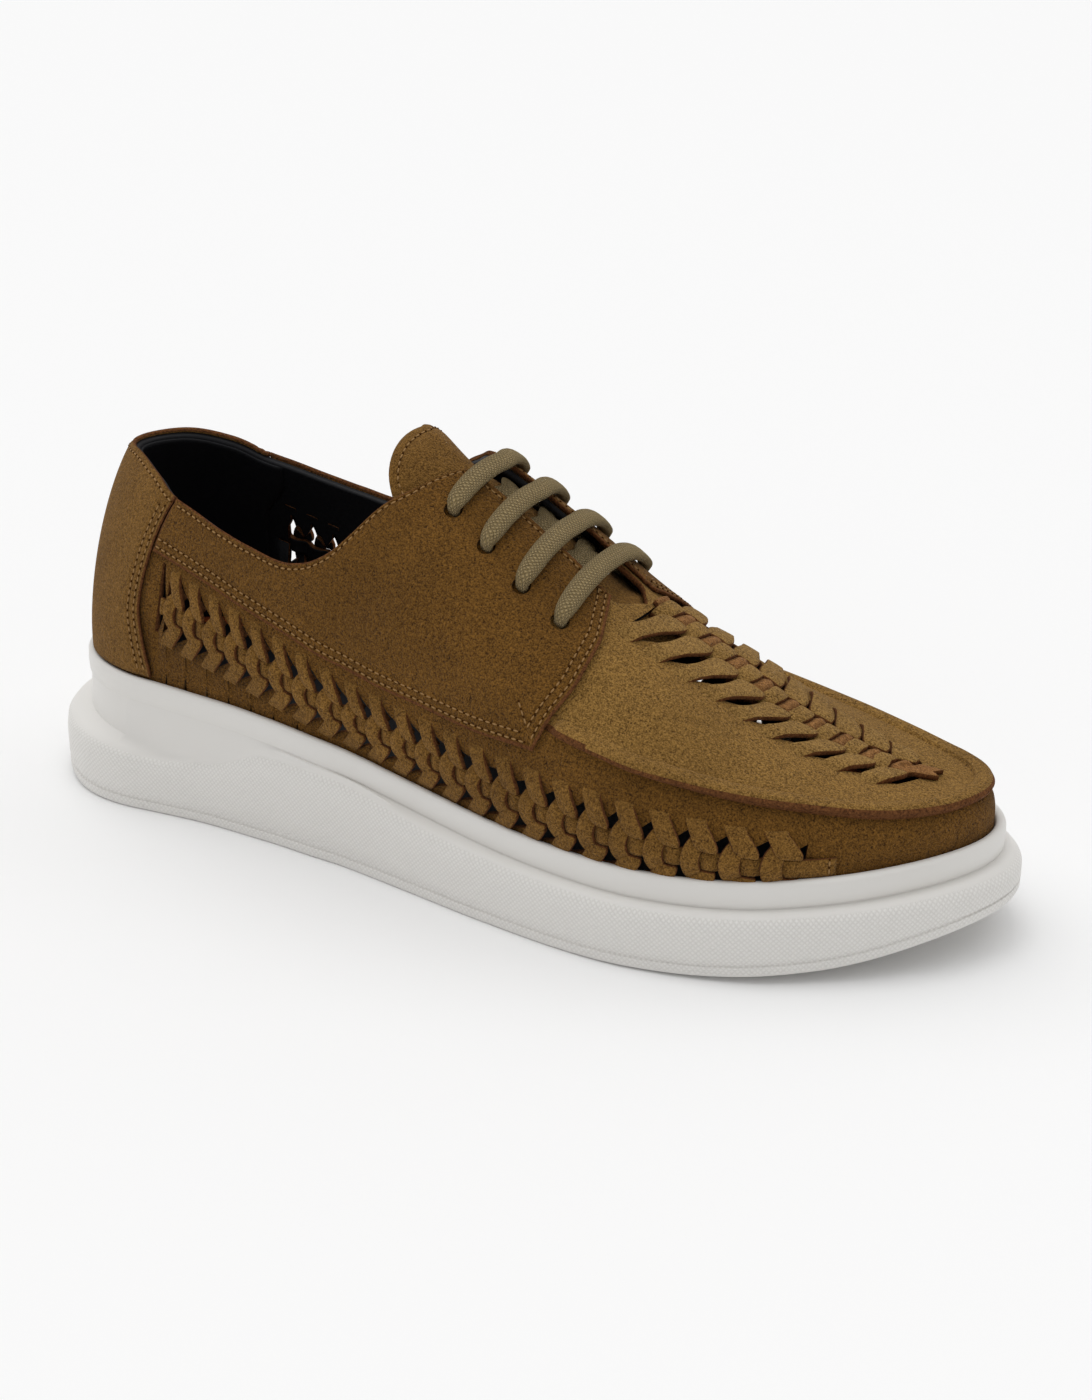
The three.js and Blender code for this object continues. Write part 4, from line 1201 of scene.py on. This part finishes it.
# Stitches
def cut_stitch():
    """One stitch and the needle hole behind it: x along the row, z off the suede, in millimetres."""
    start_clean()
    bpy.ops.mesh.primitive_uv_sphere_add(segments=6, ring_count=5, radius=1)
    stitch = bpy.context.object
    stitch.data.materials.append(THREAD)
    stitch.data.materials.append(NEEDLE)
    bpy.ops.object.mode_set(mode="EDIT")
    bpy.ops.mesh.select_all(action="SELECT")
    bpy.ops.transform.rotate(value=math.pi / 2, orient_axis="Y", center_override=(0, 0, 0))
    bpy.ops.transform.resize(value=(0.8, 0.27, 0.24))
    bpy.ops.mesh.select_all(action="DESELECT")
    bpy.ops.mesh.primitive_uv_sphere_add(segments=6, ring_count=4, radius=0.34, location=(1.1, 0, -0.05))
    stitch.active_material_index = 1
    bpy.ops.object.material_slot_assign()
    bpy.ops.object.mode_set(mode="OBJECT")
    return stitch


stitch_pattern = cut_stitch()
STITCH = points_of(stitch_pattern)


def stitch_row(name, paths, pitch=2.25):
    """Stitches along rows. A path gives the angle, the rise and the distance off the last of its places."""
    copies = []
    for angle, rise, out in paths:
        points = off_last(angle, rise, out)
        normals = last_normal(angle, rise)
        length = travelled(points)

        def on_row(values, at):
            return np.array([np.interp(at, length, values[:, i]) for i in range(3)])

        for at in np.arange(pitch / 2, length[-1], pitch):
            here = on_row(points, at)
            normal = unit(on_row(normals, at))
            ahead = on_row(points, at + 0.5) - here
            ahead = unit(ahead - normal * (ahead @ normal))
            if np.any(ahead):
                turned = np.stack((ahead, np.cross(normal, ahead), normal))
                copies.append(metres(here + STITCH @ turned))
    piece = repeat(name, stitch_pattern, copies)
    dress(piece, THREAD, NEEDLE, smooth_angle=80)
    return done(piece, "suede")


SEWN = GAP + OVERLAY + 0.02  # how far off the last the thread lies on a panel


def quarter_rows(side):
    """Two rows at the foot and the front, one at the top and a short tack at the front's lower end."""
    foot, top, back, front = quarter_edges(side)
    rows = []
    for inset in (ROW_ONE, ROW_TWO):
        along = np.linspace(float(back(0.4)) + 0.002, float(front(0.26)) - inset / PANEL_LENGTH, 260)
        angle = angle_on(side, along)
        rows.append((angle, climb(angle, foot(along), inset), SEWN))
        share = np.linspace(0.02 + inset / 60, 0.97, 200)
        rise = lerp(float(foot(FRONT_FROM)), float(top(FRONT_TO)), share)
        rows.append((angle_on(side, front(rise) - inset / PANEL_LENGTH), rise, SEWN))
    along = np.linspace(float(back(0.58)) + 0.004, 0.622, 420)
    angle = angle_on(side, along)
    rows.append((angle, climb(angle, top(along), -ROW_ONE), SEWN))
    tack = np.linspace(0, 1, 20)
    along = float(front(0.3)) - ROW_TWO / PANEL_LENGTH - tack * 0.014
    rows.append((angle_on(side, along), 0.315 + 0.055 * tack, SEWN + 0.25))
    return rows


def counter_rows():
    rows = []
    for side in (LATERAL, MEDIAL):
        for inset in (ROW_ONE, ROW_TWO):
            rise = np.linspace(0.03, 0.55, 120)
            along = column(COUNTER_SEAM, "along", rise, "rise") - inset / LENGTH
            rows.append((angle_on(side, along), rise, SEWN))
    end = float(lateral_angle(0.125))
    around = np.linspace(-end, end, 200) % (2 * math.pi)
    rows.append((around, climb(around, panel_top(along_at(around)), -ROW_ONE), SEWN))
    return rows


def tongue_rows():
    across = np.linspace(-0.93, 0.93, 160)
    along = tongue_top(across) + TONGUE_ROW / TONGUE_LENGTH + 0.06 * np.maximum(np.abs(across) - 0.8, 0)
    return [(*tongue_spot(along, across), column(TONGUE, "off", along) + 0.1)]


def weave_end_rows():
    """The few stitches that hold the free ends of the level straps."""
    across = np.linspace(-1, 1, 12)
    sides = [(*side_spot(side, 22.8 + 0 * across, 2.0 * across, 0.0), 1.1) for side in (LATERAL, MEDIAL)]
    return sides + [(*apron_spot(t + 0 * across, 2.3 * across, 0.0), 1.08) for t in (8.75, 9.0)]


def travelled(points):
    """The length of a line up to each of its points."""
    return np.concatenate(([0], np.cumsum(np.linalg.norm(np.diff(points, axis=0), axis=1))))


# Laces
LACE_GIRTH, LACE_SIDES = 17, 18


def lace_tube(centres, wide, high, broad):
    """Rings of a flat lace, soft ovals, by its centres, half widths, half heights and directions across."""
    ahead = unit(np.gradient(centres, axis=0))
    across = unit(broad - ahead * np.sum(broad * ahead, axis=1)[:, None])
    upward = np.cross(ahead, across)
    turn = np.linspace(0, 2 * math.pi, LACE_SIDES, endpoint=False)
    c, s = np.cos(turn), np.sin(turn)
    x = np.sign(c) * np.abs(c) ** 0.75
    z = np.sign(s) * np.abs(s) ** 0.85
    rings = centres[:, None] + across[:, None] * (wide[:, None] * x)[..., None]
    return rings + upward[:, None] * (high[:, None] * z)[..., None]


def resample(stops, count):
    """A smooth curve through a few stops."""
    stops = np.asarray(stops, float)
    padded = np.vstack((2 * stops[0] - stops[1], stops, 2 * stops[-1] - stops[-2]))
    at = np.linspace(0, len(stops) - 1 - 1e-9, count)
    i = at.astype(int)
    f = (at - i)[:, None]
    a, b, c, d = padded[i], padded[i + 1], padded[i + 2], padded[i + 3]
    return 0.5 * (2 * b + (c - a) * f + (2 * a - 5 * b + 4 * c - d) * f**2 + (3 * b - a - 3 * c + d) * f**3)


def toeward(angle, rise):
    step = np.where(np.sin(angle) >= 0, 1e-3, -1e-3)
    r = np.minimum(rise, 0.99)
    return unit(last_point(angle + step, r) - last_point(angle, r))


LACE_CLEAR, LACE_HALF = 0.65, 0.85
OVER_PANEL = GAP + OVERLAY + LACE_CLEAR + LACE_HALF
UNDER_WALL = -WALL - LACE_CLEAR - LACE_HALF


def stop(angle, rise, out, wide, high):
    """One stop of a lace: its centre, half width, half height and the direction across it."""
    return np.concatenate((off_last(angle, rise, out), [wide, high], toeward(angle, rise)))


def bar_stops(along, rise):
    """A bar over the throat: up through one eyelet, across, and down through the other."""
    lines = (
        # share of the way over, distance off the last, half width, half height
        (0.0, UNDER_WALL, 1.8, 1.1), (0.0, UNDER_WALL + 1.6, 1.8, 1.1),
        (0.01, OVER_PANEL - 1.1, 1.95, 1.2), (0.075, OVER_PANEL + 0.35, 2.6, 1.4),
        (0.2, OVER_PANEL + 0.6, 3.0, 1.45), (0.36, OVER_PANEL + 0.7, 3.1, 1.45),
        (0.52, OVER_PANEL + 0.6, 3.15, 1.4), (0.68, OVER_PANEL + 0.45, 3.15, 1.4),
        (0.84, OVER_PANEL + 0.35, 3.1, 1.4),
    )
    stops = []
    for side, order in ((LATERAL, 1), (MEDIAL, -1)):
        rows = [stop(float(angle_on(side, along)), lerp(rise, 1, s), out, w, h) for s, out, w, h in lines]
        stops.append(rows[::order])
    return stops[0] + [stop(float(lateral_angle(along)), 1.0, OVER_PANEL + 0.2, 3.1, 1.4)] + stops[1]


def crossing_stops(side, start, end):
    """A crossing under the throat, from an eyelet on one side to the next one on the other."""
    stops = []
    for s in np.linspace(0, 1, 13):
        along = lerp(start[0], end[0], s)
        depth = 1 - (start[1] if s < 0.5 else end[1])
        rise = 1 - depth * abs(1 - 2 * s)
        wide = lerp(1.8, 2.9, min(1, 6 * s * (1 - s)))
        angle = float(angle_on(side if s < 0.5 else -side, along))
        stops.append(stop(angle, rise, UNDER_WALL, wide, 0.95))
    return stops


def lace_faces(base, length):
    """The faces of one length of lace and their places on the flat braid, its rings numbered from base."""
    faces, places = [], []
    for i in range(len(length) - 1):
        for j in range(LACE_SIDES):
            k = (j + 1) % LACE_SIDES
            here, there = base + i * LACE_SIDES, base + (i + 1) * LACE_SIDES
            faces.append([here + j, here + k, there + k, there + j])
            a, b = j / LACE_SIDES * LACE_GIRTH, (j + 1) / LACE_SIDES * LACE_GIRTH
            places += [(length[i], a), (length[i], b), (length[i + 1], b), (length[i + 1], a)]
    for ring, order in ((0, -1), (len(length) - 1, 1)):
        faces.append([base + ring * LACE_SIDES + j for j in range(LACE_SIDES)][::order])
        places += [(0, 0)] * LACE_SIDES
    return faces, places


def lacing():
    runs = [(bar_stops(*eyelet), 90) for eyelet in EYELETS]
    for start, end in zip(EYELETS, EYELETS[1:]):
        for side in (LATERAL, MEDIAL):
            runs.append((crossing_stops(side, start, end), 50))
    points, faces, places = [], [], []
    for stops, count in runs:
        line = resample(stops, count)
        base = LACE_SIDES * sum(len(rings) for rings in points)
        points.append(lace_tube(line[:, :3], line[:, 3], line[:, 4], line[:, 5:8]))
        new_faces, new_places = lace_faces(base, travelled(line[:, :3]))
        faces += new_faces
        places += new_places
    mesh = bpy.data.meshes.new("laces_woven")
    mesh.from_pydata(metres(np.concatenate(points).reshape(-1, 3)).tolist(), [], faces)
    mesh.uv_layers.new(name="UVMap").data.foreach_set("uv", np.array(places, float).ravel())
    piece = put_in("laces_woven", mesh)
    pick(piece)
    bpy.ops.object.mode_set(mode="EDIT")
    bpy.ops.mesh.select_all(action="SELECT")
    bpy.ops.mesh.normals_make_consistent(inside=False)
    bpy.ops.object.mode_set(mode="OBJECT")
    dress(piece, BRAID, smooth_angle=60)
    return done(piece, "braid", "laces")


# The sole
def sole_profile(along):
    """The section of the sole's side at a place along it: outward and height, from the tread into the cup."""
    flare = FLARE * column(SOLE, "flare", along)
    ground = TOE_SPRING * column(SOLE, "rise", along)
    shoulder = RIM_HEIGHT * column(SOLE, "shoulder", along)
    rim = rim_height(along)
    band = rim - RIM_BAND
    zero = 0 * along
    return [
        (flare - 9, ground), (flare - 1.2, ground), (flare - 0.3, ground + 0.25), (flare, ground + 1.0),
        (flare, ground + 2.9), (flare - 0.45, ground + 3.2), (flare - 0.45, ground + 3.7),
        (flare - 0.05, ground + 4.1),
        (flare + 0.1, lerp(ground, shoulder, 0.35)), (flare, lerp(ground, shoulder, 0.7)),
        (flare - 0.5, shoulder - 2.0), (np.maximum(flare - 1.6, RIM_THICK + 0.5), shoulder - 0.6),
        (np.maximum(flare - 3.2, RIM_THICK + 0.4), shoulder + 0.5),
        (zero + RIM_THICK + 0.2, np.minimum(shoulder + 2.4, band - 0.6)),
        (zero + RIM_THICK - 0.45, band - 0.35), (zero + RIM_THICK - 0.45, band + 0.1),
        (zero + RIM_THICK, band + 0.7), (zero + RIM_THICK + 0.15, lerp(band, rim, 0.5)),
        (zero + RIM_THICK, rim - 1.1), (zero + RIM_THICK - 0.5, rim - 0.2), (zero + RIM_THICK - 1.3, rim),
        (zero + 0.9, rim - 0.1), (zero + GAP, rim - 0.7), (zero + GAP, rim - 4),
        (zero + GAP, rim - CUP_DEPTH),
    ]


SOLE_COLUMNS = 260
LATTICE_FROM, LATTICE_TO = 3, 11  # rows of the profile with the lattice


def lay_lattice(wall, columns, rows, height):
    """Lays the side wall out flat, in millimetres around and up, and marks the faces with the lattice."""
    loops = np.empty(len(wall.data.loops), int)
    wall.data.loops.foreach_get("vertex_index", loops)
    belt = rim_point(np.linspace(0, 2 * math.pi, SOLE_COLUMNS + 1), FLARE / 2, 0)
    flat = np.stack((travelled(belt)[columns], height), axis=1)
    wall.data.uv_layers[0].data.foreach_set("uv", flat[loops].ravel())
    lowest = np.array([rows[list(polygon.vertices)].min() for polygon in wall.data.polygons])
    marked = (lowest >= LATTICE_FROM) & (lowest < LATTICE_TO)
    wall.data.polygons.foreach_set("material_index", marked.astype(int))


def close_ends():
    """Closes the ring of sections below by the tread and above by the floor of the cup."""
    bpy.ops.object.mode_set(mode="EDIT")
    bpy.ops.mesh.select_mode(type="EDGE")
    bpy.ops.mesh.select_all(action="DESELECT")
    bpy.ops.mesh.select_non_manifold(
        extend=False, use_wire=False, use_multi_face=False, use_non_contiguous=False, use_verts=False
    )
    bpy.ops.mesh.edge_face_add()
    bpy.ops.mesh.select_all(action="DESELECT")
    bpy.ops.object.mode_set(mode="OBJECT")


def sole_unit():
    """The cup sole, as a ring of sections around the shoe."""
    steps = len(sole_profile(np.array([0.5]))) - 1
    wall = cut_sheet("cup_sole", SOLE_COLUMNS, steps)
    flat = points_of(wall)
    angle = flat[:, 0] * 2 * math.pi
    rows = np.rint(flat[:, 1] * steps).astype(int)
    profile = sole_profile(along_at(angle))
    outward, height = (np.choose(rows, [place[i] + 0 * angle for place in profile]) for i in (0, 1))
    lay_lattice(wall, np.rint(flat[:, 0] * SOLE_COLUMNS).astype(int), rows, height)
    move_points(wall, metres(rim_point(angle, outward, height)))
    weld(wall)
    close_ends()
    dress(wall, RUBBER, LATTICE, smooth_angle=50)
    return done(wall, "rubber", "sole")


BED_THICK, BED_SUNK = 4.5, 1.2


def foot_bed():
    """The foot bed in the cup, black in the middle and rust coloured at its border."""
    sheet = cut_sheet("footbed_sheet", 120, 24)
    flat = points_of(sheet)
    angle, v = flat[:, 0] * math.pi, flat[:, 1]
    height = rim_height(along_at(angle))
    lateral = rim_point(angle, -WALL - 0.5, height)
    medial = rim_point(2 * math.pi - angle, -WALL - 0.5, height)
    points = lerp(lateral, medial, v[:, None])
    cup = 1.6 * np.abs(2 * v - 1) ** 3 * np.sin(angle) ** 0.3
    points[:, 2] = height - CUP_DEPTH + GAP + BED_THICK - BED_SUNK + cup
    move_points(sheet, metres(points))
    dress(sheet, LINING, FOOTBED)
    across = np.array([abs(2 * v[list(polygon.vertices)].mean() - 1) for polygon in sheet.data.polygons])
    sheet.data.polygons.foreach_set("material_index", np.where(across > 0.86, 1, 0))
    thicken(sheet, 3.0, rim=1)
    weld(sheet)
    return done(sheet, "footbed", "insole")


# Camera, light and floor
AZIMUTH, ELEVATION, DISTANCE = math.radians(28), math.radians(24), 0.65
AIM = np.array([150.5, 0.0, 43.5])
SENSOR, LENS = 36, 58.5
SUNS = (
    # name, where it stands, power
    ("key", (-0.6, 0.1, 1.0), 0.95),
    ("top", (0.15, 0.25, 1.0), 0.75),
)


def stage():
    scene = bpy.context.scene
    camera = put_in("camera", bpy.data.cameras.new("camera"))
    scene.camera = camera
    camera.data.sensor_width, camera.data.lens = SENSOR, LENS
    level = math.cos(ELEVATION)
    back = Vector((math.sin(AZIMUTH) * level, -math.cos(AZIMUTH) * level, math.sin(ELEVATION)))
    camera.location = Vector(metres(AIM)) + back * DISTANCE
    camera.rotation_euler = (-back).to_track_quat("-Z", "Y").to_euler()
    camera.data.clip_start, camera.data.clip_end = 0.01, 50

    world = bpy.data.worlds.new("studio")
    scene.world = world
    world.use_nodes = True
    sky = world.node_tree.nodes["Background"]
    sky.inputs["Color"].default_value = (1, 1, 1, 1)
    sky.inputs["Strength"].default_value = 0.5

    start_clean()
    bpy.ops.mesh.primitive_plane_add(size=30, location=(0, 0, 0))
    floor = bpy.context.object
    floor.name = "floor"
    pale = Finish("floor_paper", Roughness=0.9, Specular_IOR_Level=0.1)
    floor.data.materials.append(pale.finish((0.97, 0.97, 0.97, 1.0)))

    for name, place, power in SUNS:
        light = put_in(name, bpy.data.lights.new(name, "SUN"))
        light.data.energy = power
        light.data.angle = math.radians(65)
        light.rotation_euler = Vector(place).to_track_quat("Z", "Y").to_euler()
    scene.view_settings.view_transform = "Standard"
    scene.view_settings.look = "None"


stage()
upper_wall()
for side, name in SIDES:
    side_straps(side, "straps_" + name)
    level_strap("level_strap_" + name, SHADED_SIDE_STRAP, lambda t, up: side_spot(side, t, up, 0.0),
                22.95, 2.4, -0.5, 0.95, inner=side == MEDIAL)
apron_sheet()
apron_straps()
level_strap("apron_level_strap", WEFT, lambda t, off: apron_spot(t, off, 0.0), 9.15, 3.5, -0.5, 1.7)
for side, name in SIDES:
    panel = quarter(side, f"quarter_{name}_suede", "quarter_" + name)
    punch(panel, side)
    stitch_row("stitches_quarter_" + name, quarter_rows(side))
counter()
heel_lining()
stitch_row("stitches_counter", counter_rows())
stitch_row("stitches_weave", weave_end_rows())
tongue()
stitch_row("stitches_tongue", tongue_rows())
lacing()
sole_unit()
foot_bed()
for pattern in (strap_pattern, stitch_pattern):
    bpy.data.objects.remove(pattern)
